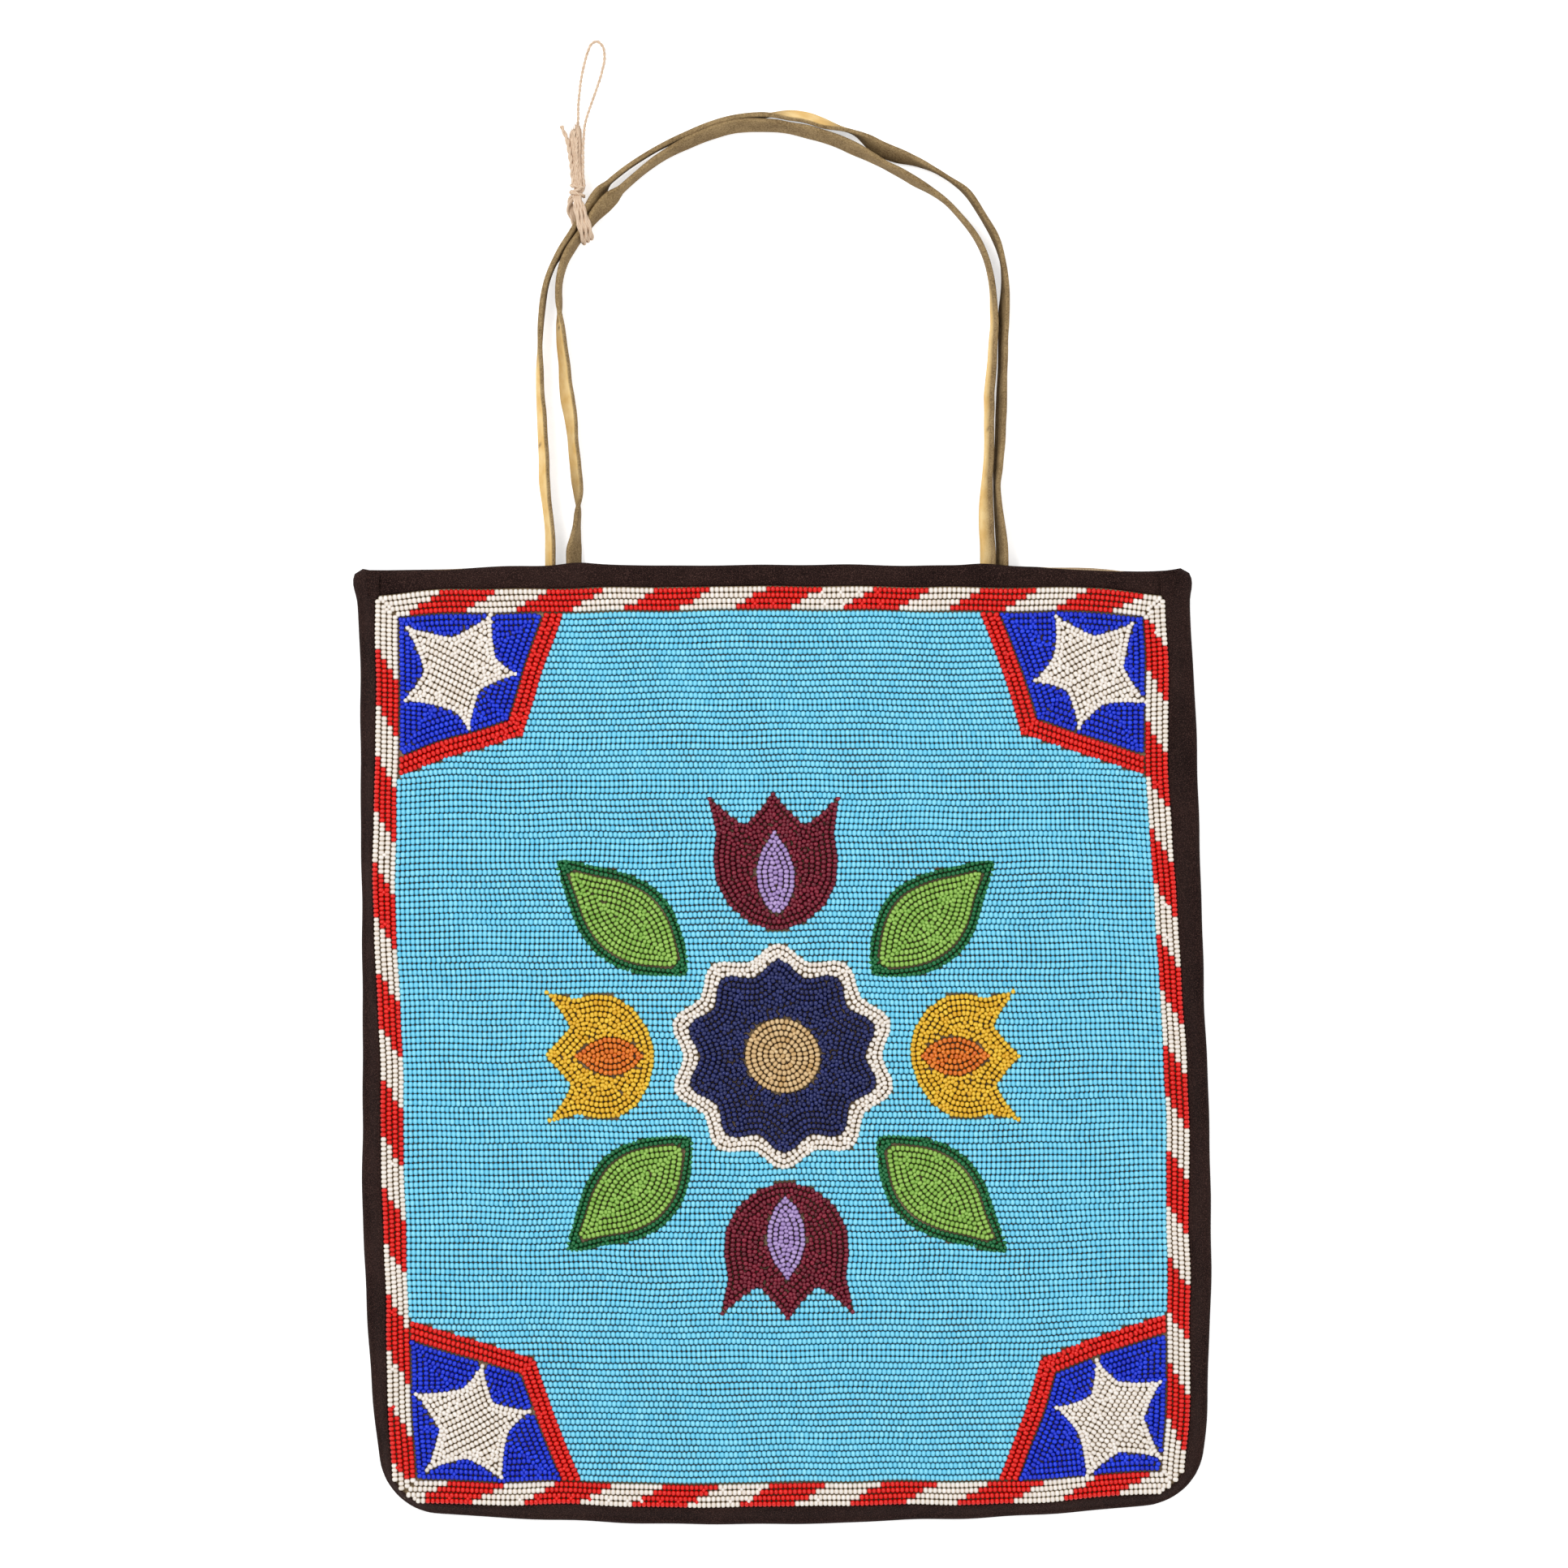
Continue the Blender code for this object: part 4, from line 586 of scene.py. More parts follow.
def loft(name, rows, closed=True, capped=True, sizes=(1.0, 1.0), layer="Ply"):
    """A grid primitive laid on rows of places. Closed joins each row's ends, capped fills both ends."""
    rows = np.asarray(rows, float)
    down, across = rows.shape[0], rows.shape[1]
    cells = across if closed else across - 1
    clear_selection()
    bpy.ops.mesh.primitive_grid_add(x_subdivisions=cells, y_subdivisions=down - 1, size=2)
    piece = bpy.context.object
    piece.name = piece.data.name = name
    mesh = piece.data
    flat = np.empty(len(mesh.vertices) * 3)
    mesh.vertices.foreach_get("co", flat)
    flat = flat.reshape(-1, 3)
    i = np.rint((flat[:, 0] + 1) / 2 * cells).astype(int)
    j = np.rint((flat[:, 1] + 1) / 2 * (down - 1)).astype(int)
    mesh.vertices.foreach_set("co", rows[j, i % across].ravel())
    uv = mesh.uv_layers[0]
    uv.name = layer
    spread = np.empty(len(mesh.loops) * 2)
    uv.data.foreach_get("uv", spread)
    uv.data.foreach_set("uv", (spread.reshape(-1, 2) * sizes).ravel())
    bpy.ops.object.mode_set(mode="EDIT")
    bpy.ops.mesh.select_all(action="SELECT")
    if closed:
        bpy.ops.mesh.remove_doubles(threshold=1e-7)
    if closed and capped:
        bpy.ops.mesh.select_all(action="DESELECT")
        bpy.ops.mesh.select_mode(type="EDGE")
        bpy.ops.mesh.select_non_manifold()
        bpy.ops.mesh.fill_holes(sides=0)
        bpy.ops.mesh.select_all(action="SELECT")
        bpy.ops.mesh.normals_make_consistent(inside=False)
    bpy.ops.object.mode_set(mode="OBJECT")
    bpy.ops.object.shade_smooth()
    # Cut ends keep their sharp rim
    rims = {key for face in mesh.polygons if len(face.vertices) > 4 for key in face.edge_keys}
    for edge in mesh.edges:
        edge.use_edge_sharp = edge.key in rims
    return piece


def joined(pieces, name):
    """Several objects made into one."""
    clear_selection()
    for piece in pieces:
        piece.select_set(True)
    bpy.context.view_layer.objects.active = pieces[0]
    bpy.ops.object.join()
    pieces[0].name = pieces[0].data.name = name
    return pieces[0]


def finish_piece(piece, material, body, slot, *nodes):
    """Gives a piece its material and its body, and hides the nodes that it stands for; the slot is not used.
    A piece on the hinge is put on no body, its place baked into its mesh."""
    if material:
        piece.data.materials.clear()
        piece.data.materials.append(material)
    if body == "hinge":
        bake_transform(piece)
    else:
        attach(piece, body)
    if nodes:
        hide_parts(*nodes)
    return piece


def bead_form(sides):
    """One barrel bead of length and width 1, its hole along X: a drum whose ends are inset and pushed out."""
    clear_selection()
    bpy.ops.mesh.primitive_cylinder_add(vertices=sides, radius=0.5, depth=BEAD_DRUM, end_fill_type="NGON",
                                        rotation=(0, math.pi / 2, 0))
    bead = bpy.context.object
    bpy.ops.object.transform_apply(location=True, rotation=True, scale=True)
    bpy.ops.object.mode_set(mode="EDIT")
    bpy.ops.mesh.select_mode(type="FACE")
    bpy.ops.object.mode_set(mode="OBJECT")
    for face in bead.data.polygons:
        face.select = len(face.vertices) == sides
    bpy.ops.object.mode_set(mode="EDIT")
    bpy.ops.mesh.inset(thickness=BEAD_END_INSET, depth=BEAD_END_DOME, use_individual=True)
    bpy.ops.object.mode_set(mode="OBJECT")
    corners = np.array([vertex.co for vertex in bead.data.vertices])
    faces = [tuple(face.vertices) for face in bead.data.polygons]
    bpy.data.objects.remove(bead)
    return corners, faces


def cell_layout(corners, faces):
    """Where each face corner of a bead lies in its own cell of the texture."""
    spread = []
    turns = np.arctan2(corners[:, 2], corners[:, 1]) / (2 * math.pi) % 1
    for face in faces:
        ring = corners[list(face)]
        if len(face) > 4:
            middle = CELL_ENDS[0] if ring[:, 0].mean() < 0 else CELL_ENDS[1]
            for angle in turns[list(face)] * 2 * math.pi:
                spread.append((middle + CELL_END_WIDE * math.cos(angle),
                               0.5 + CELL_END_HIGH * math.sin(angle)))
            continue
        at = turns[list(face)]
        at = np.where(at.max() - at > 0.5, at + 1, at)
        at = at - (1 if at.min() >= 1 else 0)
        for along, around in zip(ring[:, 0], at):
            spread.append((CELL_SIDE_START + CELL_SIDE_WIDE * (along + 0.5),
                           min(CELL_TURN_START + CELL_TURN_HIGH * around / CELL_TURN_ROOM, 0.99)))
    return np.array(spread)


def string_beads(name, spots, form, look, seed):
    """One mesh of sewn beads. Each spot is x, y, the thread's direction, the bead's length and width, and
    how far it has slipped under its neighbours."""
    corners, faces = form
    spots = np.asarray(spots, float)
    count, points = len(spots), len(corners)
    loose = np.random.default_rng(seed)
    turn = spots[:, 2] + loose.normal(0, look.looseness, count)
    length = spots[:, 3] * loose.normal(BEAD_FILL, LENGTH_SPREAD, count)
    width = spots[:, 4] * loose.normal(look.snugness, WIDTH_SPREAD, count)
    height = look.bead_height * loose.normal(1.0, HEIGHT_SPREAD, count)
    lean = loose.normal(0, look.looseness, count)[:, None]
    tone = loose.normal(0.5, TONE_SPREAD, count)
    along, across, up = (corners[:, axis][None, :] for axis in range(3))
    level = np.zeros(count)
    here = settled(np.stack((spots[:, 0], spots[:, 1], level), 1))
    further_x = spots[:, 0] + MM * np.cos(spots[:, 2])
    further_y = spots[:, 1] + MM * np.sin(spots[:, 2])
    ahead = settled(np.stack((further_x, further_y, level), 1)) - here
    turn += np.arctan2(ahead[:, 1], ahead[:, 0]) - np.arctan2(np.sin(spots[:, 2]), np.cos(spots[:, 2]))
    cos, sin = np.cos(turn)[:, None], np.sin(turn)[:, None]
    u, v = along * length[:, None], across * width[:, None]
    place = np.empty((count, points, 3))
    place[..., 0] = here[:, 0, None] + u * cos - v * sin
    place[..., 1] = here[:, 1, None] + u * sin + v * cos
    middle = BEADS_BASE + look.bead_height / 2 + swell(here[:, 0], here[:, 1])
    middle = middle + loose.normal(0, LIFT_SPREAD, count) - spots[:, 5]
    place[..., 2] = middle[:, None] + up * height[:, None] + u * lean
    # Painted shade: 1 where a bead shows its own colour, falling to 0 down its flanks and lower at its ends,
    # where the next beads shade it
    unshaded_share = np.clip((up - SHADE_LIFT_START) / SHADE_LIFT_SPAN, 0, 1) * np.where(np.abs(along) > 0.4, END_SHADE, 1.0)
    unshaded_share = np.broadcast_to(unshaded_share, (count, points))
    sizes = np.array([len(face) for face in faces])
    order = np.concatenate([np.array(face) for face in faces])
    mesh = bpy.data.meshes.new(name)
    mesh.vertices.add(count * points)
    mesh.vertices.foreach_set("co", place.ravel())
    bead = np.arange(count)[:, None]
    mesh.loops.add(count * len(order))
    mesh.loops.foreach_set("vertex_index", (order[None, :] + points * bead).ravel())
    mesh.polygons.add(count * len(faces))
    starts = np.concatenate(([0], np.cumsum(sizes)[:-1]))
    mesh.polygons.foreach_set("loop_start", (starts[None, :] + len(order) * bead).ravel())
    mesh.polygons.foreach_set("use_smooth", np.ones(count * len(faces), bool))
    mesh.update(calc_edges=True)
    for attribute, values in (("tone", np.repeat(tone, points)), ("unshaded_share", unshaded_share.ravel())):
        held = mesh.attributes.new(attribute, "FLOAT", "POINT")
        held.data.foreach_set("value", values.astype(np.float32))
    across_cells = math.ceil(math.sqrt(count))
    cell = np.stack(np.divmod(np.arange(count), across_cells)[::-1], 1)[:, None, :]
    spread = (cell + cell_layout(corners, faces)[None, :, :]) / across_cells
    mesh.uv_layers.new(name="OFBake").data.foreach_set("uv", spread.ravel())
    mesh.validate()
    piece = bpy.data.objects.new(name, mesh)
    bpy.context.collection.objects.link(piece)
    return piece


def inside(places, loops):
    """Whether places lie in the region between outlines, counted across all of them."""
    x, y = places[:, 0], places[:, 1]
    within = np.zeros(len(places), bool)
    for loop in loops:
        ahead = np.roll(loop, -1, 0)
        for (ax, ay), (bx, by) in zip(loop, ahead):
            if ay == by:
                continue
            crosses = (ay > y) != (by > y)
            within ^= crosses & (x < (bx - ax) * (y - ay) / (by - ay) + ax)
    return within


def distance_to(places, loops):
    """How far places are from the nearest edge of the outlines."""
    nearest = np.full(len(places), 1e9)
    for loop in loops:
        for a, b in zip(loop, np.roll(loop, -1, 0)):
            run = b - a
            share = np.clip(((places - a) @ run) / max(run @ run, 1e-18), 0, 1)
            nearest = np.minimum(nearest, np.linalg.norm(places - a - share[:, None] * run, axis=1))
    return nearest


def rounded(loop, step=0.0008):
    """A closed outline through the same corners, curved and finely divided."""
    around = np.linalg.norm(np.roll(loop, -1, 0) - loop, axis=1).sum()
    count = int(round(around / step))
    return flow(np.concatenate((loop, loop, loop, loop[:1])), around / count)[count:2 * count]


def divided(loop, step=0.0004):
    """A closed outline with its straight edges finely divided."""
    points = []
    for a, b in zip(loop, np.roll(loop, -1, 0)):
        pieces = max(1, int(np.linalg.norm(b - a) / step))
        points.append(a + (b - a) * (np.arange(pieces) / pieces)[:, None])
    return np.concatenate(points)


def beads_along(line, length, width):
    """Beads end to end along an open line, with their lengths fitted to it."""
    run = np.concatenate(([0], np.cumsum(np.linalg.norm(np.diff(line, axis=0), axis=1))))
    if run[-1] < SHORTEST_BEAD * length:
        return []
    count = max(1, int(round(run[-1] / length)))
    gap = run[-1] / count
    at = (np.arange(count) + 0.5) * gap
    x, y = np.interp(at, run, line[:, 0]), np.interp(at, run, line[:, 1])
    reach = gap * 0.5
    dx = np.interp(at + reach, run, line[:, 0]) - np.interp(at - reach, run, line[:, 0])
    dy = np.interp(at + reach, run, line[:, 1]) - np.interp(at - reach, run, line[:, 1])
    return list(zip(x, y, np.arctan2(dy, dx), np.full(count, gap), np.full(count, width), np.zeros(count)))


def bead_rows(loops, angle, length, pitch, margin=0.0, rows=None, tuck=0.0):
    """Straight rows of beads across a region, at an angle, no nearer its outline than the margin. A row may
    run on for the tuck past a slanting outline, where its last beads slip under the next motif."""
    turn = np.array(((math.cos(angle), -math.sin(angle)), (math.sin(angle), math.cos(angle))))
    flat = [loop @ turn for loop in loops]
    low, high = flat[0].min(0), flat[0].max(0)
    rows = rows or max(1, int(round((high[1] - low[1] - 2 * margin) / pitch)))
    gap = (high[1] - low[1] - 2 * margin) / rows
    spots = []
    for row in range(rows):
        y = low[1] + margin + (row + 0.5) * gap
        x = np.arange(low[0] - tuck + SCAN_STEP / 2, high[0] + tuck, SCAN_STEP)
        places = np.stack((x, np.full_like(x, y)), 1)
        held = inside(places, flat)
        if margin or tuck:
            near = distance_to(places, flat)
            held = held & (near >= margin) | ~held & (near <= tuck)
        edges = np.flatnonzero(np.diff(np.concatenate(([False], held, [False])).astype(int)))
        for start, stop in edges.reshape(-1, 2):
            line = np.array(((x[start] - SCAN_STEP / 2, y), (x[stop - 1] + SCAN_STEP / 2, y)))
            spots += beads_along(line @ turn.T, length, gap)
    if tuck:
        spots = np.array(spots)
        out = ~inside(spots[:, :2], loops)
        out |= distance_to(spots[:, :2], loops) < 0.3 * tuck
        spots[out, 5] = TUCK_DEPTH
        spots = [tuple(spot) for spot in spots]
    return spots


def patched(spots, loops, length, pitch, others=(), edge=0.2):
    """Adds single beads where lanes or rows and the other motifs leave bare canvas, turned like the bead
    beside."""
    step, wide = PATCH_STEP, BARE_SHARE * pitch
    low = loops[0].min(0) - MM
    size = np.ceil((loops[0].max(0) + MM - low) / step).astype(int)
    beads = np.array([spot[:3] for spot in (*spots, *others)])
    cells = np.rint((beads[:, :2] - low) / step).astype(int)
    bare = np.ones(size, bool)
    reach = int(wide / step) + 1
    for i in range(-reach, reach + 1):
        for j in range(-reach, reach + 1):
            if math.hypot(i, j) * step <= wide:
                near = np.clip(cells + (i, j), 0, size - 1)
                bare[near[:, 0], near[:, 1]] = False
    places = np.argwhere(bare) * step + low
    places = places[inside(places, loops[:1]) & inside(places, loops)]
    places = places[distance_to(places, loops) > edge * pitch]
    if not len(places):
        return list(spots)
    own = np.array([spot[:3] for spot in spots])
    gaps = np.array([((beads[:, :2] - place) ** 2).sum(1) for place in places])
    nearest, free = gaps[:, :len(own)].argmin(1), np.sqrt(gaps.min(1))
    added = []
    while free.max() > wide:
        at = int(free.argmax())
        share = min(1.0, free[at] / (0.9 * pitch))
        added.append((places[at, 0], places[at, 1], own[nearest[at], 2], length * (0.4 + 0.6 * share),
                      pitch * (0.35 + 0.65 * share), 0.0))
        free = np.minimum(free, np.linalg.norm(places - places[at], axis=1))
    return list(spots) + added


def bead_lanes(loops, length, pitch, lanes, start=0.5, keep_off=0.45):
    """Lanes of beads that follow the outer outline, the first half a bead inside it, clear of any inner
    outline."""
    outer = loops[0]
    area = np.sum(outer[:, 0] * np.roll(outer[:, 1], -1) - np.roll(outer[:, 0], -1) * outer[:, 1])
    fine = divided(outer)
    ahead = np.roll(fine, -2, 0) - np.roll(fine, 2, 0)
    normal = np.stack((-ahead[:, 1], ahead[:, 0]), 1) * (1 if area > 0 else -1)
    normal /= np.linalg.norm(normal, axis=1)[:, None]
    spots = []
    for lane in range(lanes):
        depth = (lane + start) * pitch
        line = fine + normal * depth
        held = (distance_to(line, [outer]) > depth * 0.985 - 0.00002) & inside(line, loops)
        if len(loops) > 1:
            held &= distance_to(line, loops[1:]) > keep_off * pitch
        if not held.any():
            break
        if held.all():
            closed = np.concatenate((line, line[:1]))
            spots += beads_along(closed, length, pitch)
            continue
        shift = int(np.argmin(held))
        line, held = np.roll(line, -shift, 0), np.roll(held, -shift)
        kept = line[held]
        leaps = np.linalg.norm(np.diff(kept, axis=0), axis=1)
        for part in np.split(kept, np.flatnonzero(leaps > pitch * 1.2) + 1):
            if len(part) > 2:
                spots += beads_along(part, length, pitch)
    return spots


def between_rails(first, second, lanes, length):
    """Lanes of beads between two rails that run the same way."""
    steps = np.linspace(0, 1, 120)

    def spread(rail):
        run = np.concatenate(([0], np.cumsum(np.linalg.norm(np.diff(rail, axis=0), axis=1))))
        return np.stack([np.interp(steps * run[-1], run, rail[:, axis]) for axis in (0, 1)], 1)

    first, second = spread(first), spread(second)
    width = np.linalg.norm(first - second, axis=1).mean() / lanes
    spots = []
    for lane in range(lanes):
        spots += beads_along(first + (second - first) * (lane + 0.5) / lanes, length, width)
    return spots


def thinned(spots, least):
    """Leaves out each bead that would sit on one before it."""
    kept, cells = [], {}
    around = [(i, j) for i in (-1, 0, 1) for j in (-1, 0, 1)]
    for spot in spots:
        cell = (int(spot[0] // least), int(spot[1] // least))
        near = [other for i, j in around for other in cells.get((cell[0] + i, cell[1] + j), ())]
        if any((spot[0] - other[0]) ** 2 + (spot[1] - other[1]) ** 2 < least * least for other in near):
            continue
        cells.setdefault(cell, []).append(spot)
        kept.append(spot)
    return kept


def pouch_edges(y, inset):
    """The left and right ends of a row across the pouch at a height, with its bottom corners rounded."""
    tilt = POUCH_LEAN * y / POUCH_HEIGHT
    half = POUCH_WIDTH / 2 - inset
    radius = POUCH_CORNER - inset
    depth = np.clip(radius - (y + POUCH_HEIGHT / 2 - inset), 0, radius)
    cut = radius - np.sqrt(np.maximum(radius ** 2 - depth ** 2, 0))
    return -half + cut - tilt, half - cut - tilt


def edge_distance(x, y):
    """How far a place is from the bound edge of the pouch, nothing counted at the mouth."""
    side = POUCH_WIDTH / 2 - np.abs(x + POUCH_LEAN * y / POUCH_HEIGHT)
    low = y + POUCH_HEIGHT / 2
    near = np.minimum(side, low)
    cut = POUCH_CORNER - np.hypot(POUCH_CORNER - side, POUCH_CORNER - low)
    return np.where((side < POUCH_CORNER) & (low < POUCH_CORNER), cut, near)


def graded(start, stop, edge_steps, middle_step):
    """Places from start to stop, close together at both ends."""
    fine = np.concatenate(([0], np.cumsum(edge_steps)))
    span = stop - start
    middle = np.linspace(fine[-1], span - fine[-1], max(2, int((span - 2 * fine[-1]) / middle_step)))
    return start + np.concatenate((fine[:-1], middle, (span - fine[:-1])[::-1]))


def cloth_layer(name, inset, top, level, thickness):
    """A sheet of cloth laid over the pouch's outline, its height given by level(x, y, distance from the
    edge)."""
    low = -POUCH_HEIGHT / 2 + inset
    steps = np.array((0.0008, 0.001, 0.0012, 0.0014, 0.0016, 0.0018, 0.002, 0.002, 0.0025, 0.003, 0.004))
    heights = graded(low, top, steps, 0.006)
    shares = graded(0, 1, steps / POUCH_WIDTH, 0.02)
    rows = []
    for height in heights:
        left, right = pouch_edges(height, inset)
        x = left + (right - left) * shares
        y = np.full_like(x, height)
        edge = edge_distance(x, y)
        rows.append(settled(np.stack((x, y, level(x, y, edge)), 1), np.clip(1 - edge / BEADS_INSET, 0, 1)))
    sheet = loft(name, rows, closed=False, sizes=(POUCH_WIDTH, POUCH_HEIGHT))
    clear_selection()
    sheet.select_set(True)
    bpy.context.view_layer.objects.active = sheet
    wall = sheet.modifiers.new("Thickness", "SOLIDIFY")
    wall.thickness = thickness
    wall.offset = 1.0
    bpy.ops.object.modifier_apply(modifier=wall.name)
    return sheet


def smoothstep(share):
    """A share between 0 and 1, eased at both ends."""
    share = np.clip(share, 0, 1)
    return share * share * (3 - 2 * share)


def round_off(share):
    """How high a rounded end stands at a share of its radius from its tip."""
    return math.sqrt(max(0.0, 1 - (1 - min(1.0, share)) ** 2))


def front_height(edge, d):
    """How high a layer of the front lies at a distance from the pouch's edge, from its height there."""
    return edge + FRONT_RISE * smoothstep((d - EDGE_INSET) / (BEADS_INSET - EDGE_INSET))


def edge_stations(step):
    """Places down the left side, round the bottom and up the right side, with the way inwards at each."""
    radius = POUCH_CORNER
    half, low = POUCH_WIDTH / 2, -POUCH_HEIGHT / 2
    line = [(-half, MOUTH_Y + 0.0007), (-half, low + radius)]
    for turn in np.linspace(0, math.pi / 2, 12)[1:]:
        line.append((-half + radius - radius * math.cos(turn), low + radius - radius * math.sin(turn)))
    for turn in np.linspace(0, math.pi / 2, 12):
        line.append((half - radius + radius * math.sin(turn), low + radius - radius * math.cos(turn)))
    line += [(half, MOUTH_Y + 0.0007)]
    line = np.array(line)
    run = np.concatenate(([0], np.cumsum(np.linalg.norm(np.diff(line, axis=0), axis=1))))
    at = np.linspace(0, run[-1], int(run[-1] / step))
    place = np.stack([np.interp(at, run, line[:, axis]) for axis in (0, 1)], 1)
    ahead = np.gradient(place, axis=0)
    inward = np.stack((-ahead[:, 1], ahead[:, 0]), 1)
    inward /= np.linalg.norm(inward, axis=1)[:, None]
    place[:, 0] -= POUCH_LEAN * place[:, 1] / POUCH_HEIGHT
    return place, inward, run[-1]


def strap_route(side):
    """A strap's middle line from one sewn end over the arch to the other, as points."""
    middles = section_middles(f"handle_strap_{side}", 8)
    if middles[0][0] > middles[-1][0]:
        middles = middles[::-1]
    keep = middles[3:-3]
    ends = []
    for hand, x in (("left", keep[0][0]), ("right", keep[-1][0])):
        low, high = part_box(f"strap_end_{side}_{hand}")
        held = (high.z if side == "front" else low.z) + (-1 if side == "front" else 1) * 0.0013
        x = (low.x + high.x) / 2
        ends.append([(x, low.y + 0.0002, held), (x, MOUTH_Y - 0.009, held), (x, MOUTH_Y - 0.005, held),
                     (x, MOUTH_Y, MOUTH_GAP_MIDDLE), (x, ROOT_AXIS_Y + JOINT_HALF, MOUTH_GAP_MIDDLE),
                     (x, FOLD_AXIS_Y + 0.001, MOUTH_GAP_MIDDLE)])
    return flow(ends[0] + [tuple(point) for point in keep[1:-1]] + ends[1][::-1], 0.0012)


def strap_rows(line, table, start, stop, sizes):
    """Sections of a strap along its line, with how pale each corner is. The table says how wide the strap
    looks from above, and how far it is turned on edge follows from that."""
    width, thickness, rounding = sizes
    ahead = np.gradient(line, axis=0)
    ahead[:, 2] = 0
    ahead /= np.linalg.norm(ahead, axis=1)[:, None]
    beside = np.stack((-ahead[:, 1], ahead[:, 0], np.zeros(len(line))), 1)
    run = np.concatenate(([0], np.cumsum(np.linalg.norm(np.diff(line, axis=0), axis=1))))
    share = np.clip((run - run[start]) / (run[stop] - run[start]), 0, 1)
    knots = np.array(table)
    reach, lean = math.hypot(width, thickness), math.atan2(thickness, width)
    turn = np.minimum(lean + np.arccos(np.minimum(knots[:, 2] * MM / reach, 1)), math.pi / 2)
    turn = np.where(knots[:, 3] > 0, math.pi - turn, turn)
    thin = np.clip(knots[:, 2] * MM / thickness, 0.6, 1)

    def softened(values, reach=2):
        soft = np.full(2 * reach + 1, 1 / (2 * reach + 1))
        return np.convolve(np.pad(values, reach, mode="edge"), soft, "valid")

    turn, thin, sway, out_pale, in_pale = (
        softened(np.interp(share, knots[:, 0], column), reach)
        for column, reach in ((turn, 1), (thin, 1), (knots[:, 1], 2), (knots[:, 4], 2), (knots[:, 5], 2)))
    # Inside the mouth the strap lies flat between the hems
    at = np.arange(len(line))
    for depth, end in ((start - STILL_SECTIONS - at, start), (at - stop - STILL_SECTIONS, stop)):
        laid_flat = math.pi if turn[end] > math.pi / 2 else 0.0
        still = smoothstep(1 - depth / TURNING_SECTIONS)
        turn = np.where(depth > 0, laid_flat + (turn[end] - laid_flat) * still, turn)
        sway = np.where(depth > 0, sway[end] * still, sway)
    w, t, r = width / 2, thickness / 2, rounding
    section = [(w, t - r), (w - r * 0.3, t - r * 0.3), (w - r, t), (w * 0.4, t * 1.04),
               (-w * 0.4, t * 1.04), (r - w, t), (r * 0.3 - w, t - r * 0.3), (-w, t - r)]
    section += [(-a, -b) for a, b in section]
    section = np.array(section)
    lower = np.clip(0.9 - section[:, 0] / w, 0, 1)
    pale_in = np.where(section[:, 1] > t * 0.95, lower, np.where(section[:, 1] > t * 0.8, 0.35 * lower, 0))
    pale_out = np.where(section[:, 1] < -t * 0.95, 1, np.where(section[:, 1] < -t * 0.8, 0.35, 0))
    up = np.array((0, 0, 1.0))
    across = beside * np.cos(turn)[:, None] + up * np.sin(turn)[:, None]
    through = up * np.cos(turn)[:, None] - beside * np.sin(turn)[:, None]
    ragged = (1 + 0.04 * ripple(run, run * 0.0, 0.013, 0.7))[:, None, None]
    middle = line + beside * (sway * MM)[:, None]
    rows = (middle[:, None, :] + across[:, None, :] * section[None, :, :1] * ragged
            + through[:, None, :] * section[None, :, 1:] * thin[:, None, None])
    rows[..., 2] = np.maximum(rows[..., 2], 0.0003)
    pale = np.clip(out_pale[:, None] * pale_out + in_pale[:, None] * pale_in, 0, 1)
    return rows, pale


def strap_part(name, rows, pale):
    """One length of strap as a piece, with its grain attribute."""
    piece = loft(name, rows, sizes=(0.018, 0.0012 * len(rows)))
    flat = np.empty(len(piece.data.vertices) * 3)
    piece.data.vertices.foreach_get("co", flat)
    flat = flat.reshape(-1, 3)
    source = rows.reshape(-1, 3)
    shade = pale.ravel()
    order = np.lexsort(source.T.round(7))
    keyed = {tuple(np.round(place, 6)): value for place, value in zip(source[order], shade[order])}
    values = np.array([keyed.get(tuple(np.round(place, 6)), 0.0) for place in flat], np.float32)
    piece.data.attributes.new("grain", "FLOAT", "POINT").data.foreach_set("value", values)
    return piece


def two_ply(name, line, diameter, pitch=0.0032, plies=2, sides=6, taper=0.0):
    """Twine as plies twisted round its middle line, drawn thin over the taper at its far end."""
    ahead = np.gradient(line, axis=0)
    ahead /= np.linalg.norm(ahead, axis=1)[:, None]
    up = np.array((0.0, 0.0, 1.0))
    beside = np.empty_like(line)
    held = np.cross(up, ahead[0]) if abs(ahead[0][2]) < 0.9 else np.cross((1.0, 0, 0), ahead[0])
    for at, way in enumerate(ahead):
        held = held - way * (held @ way)
        held = held / np.linalg.norm(held)
        beside[at] = held
    high = np.cross(ahead, beside)
    run = np.concatenate(([0], np.cumsum(np.linalg.norm(np.diff(line, axis=0), axis=1))))
    radius = diameter * (0.31 if plies > 1 else 0.5)
    around = np.linspace(0, 2 * math.pi, sides, endpoint=False)
    pieces = []
    for ply in range(plies):
        turn = run * 2 * math.pi / pitch + ply * 2 * math.pi / plies
        off = diameter * (0.2 if plies > 1 else 0.02)
        centre = line + off * (beside * np.cos(turn)[:, None] + high * np.sin(turn)[:, None])
        swelling = 1 + 0.07 * ripple(run, run * 0, 0.0041, ply * 2.0)
        if taper:
            swelling *= 0.3 + 0.7 * np.sqrt(np.clip((run[-1] - run) / taper, 0, 1))
        rows = (centre[:, None, :] + (beside[:, None, :] * np.cos(around)[None, :, None]
                + high[:, None, :] * np.sin(around)[None, :, None]) * (radius * swelling)[:, None, None])
        pieces.append(loft(f"{name}_{ply}", rows, sizes=(2 * math.pi * radius, run[-1])))
    return joined(pieces, name)


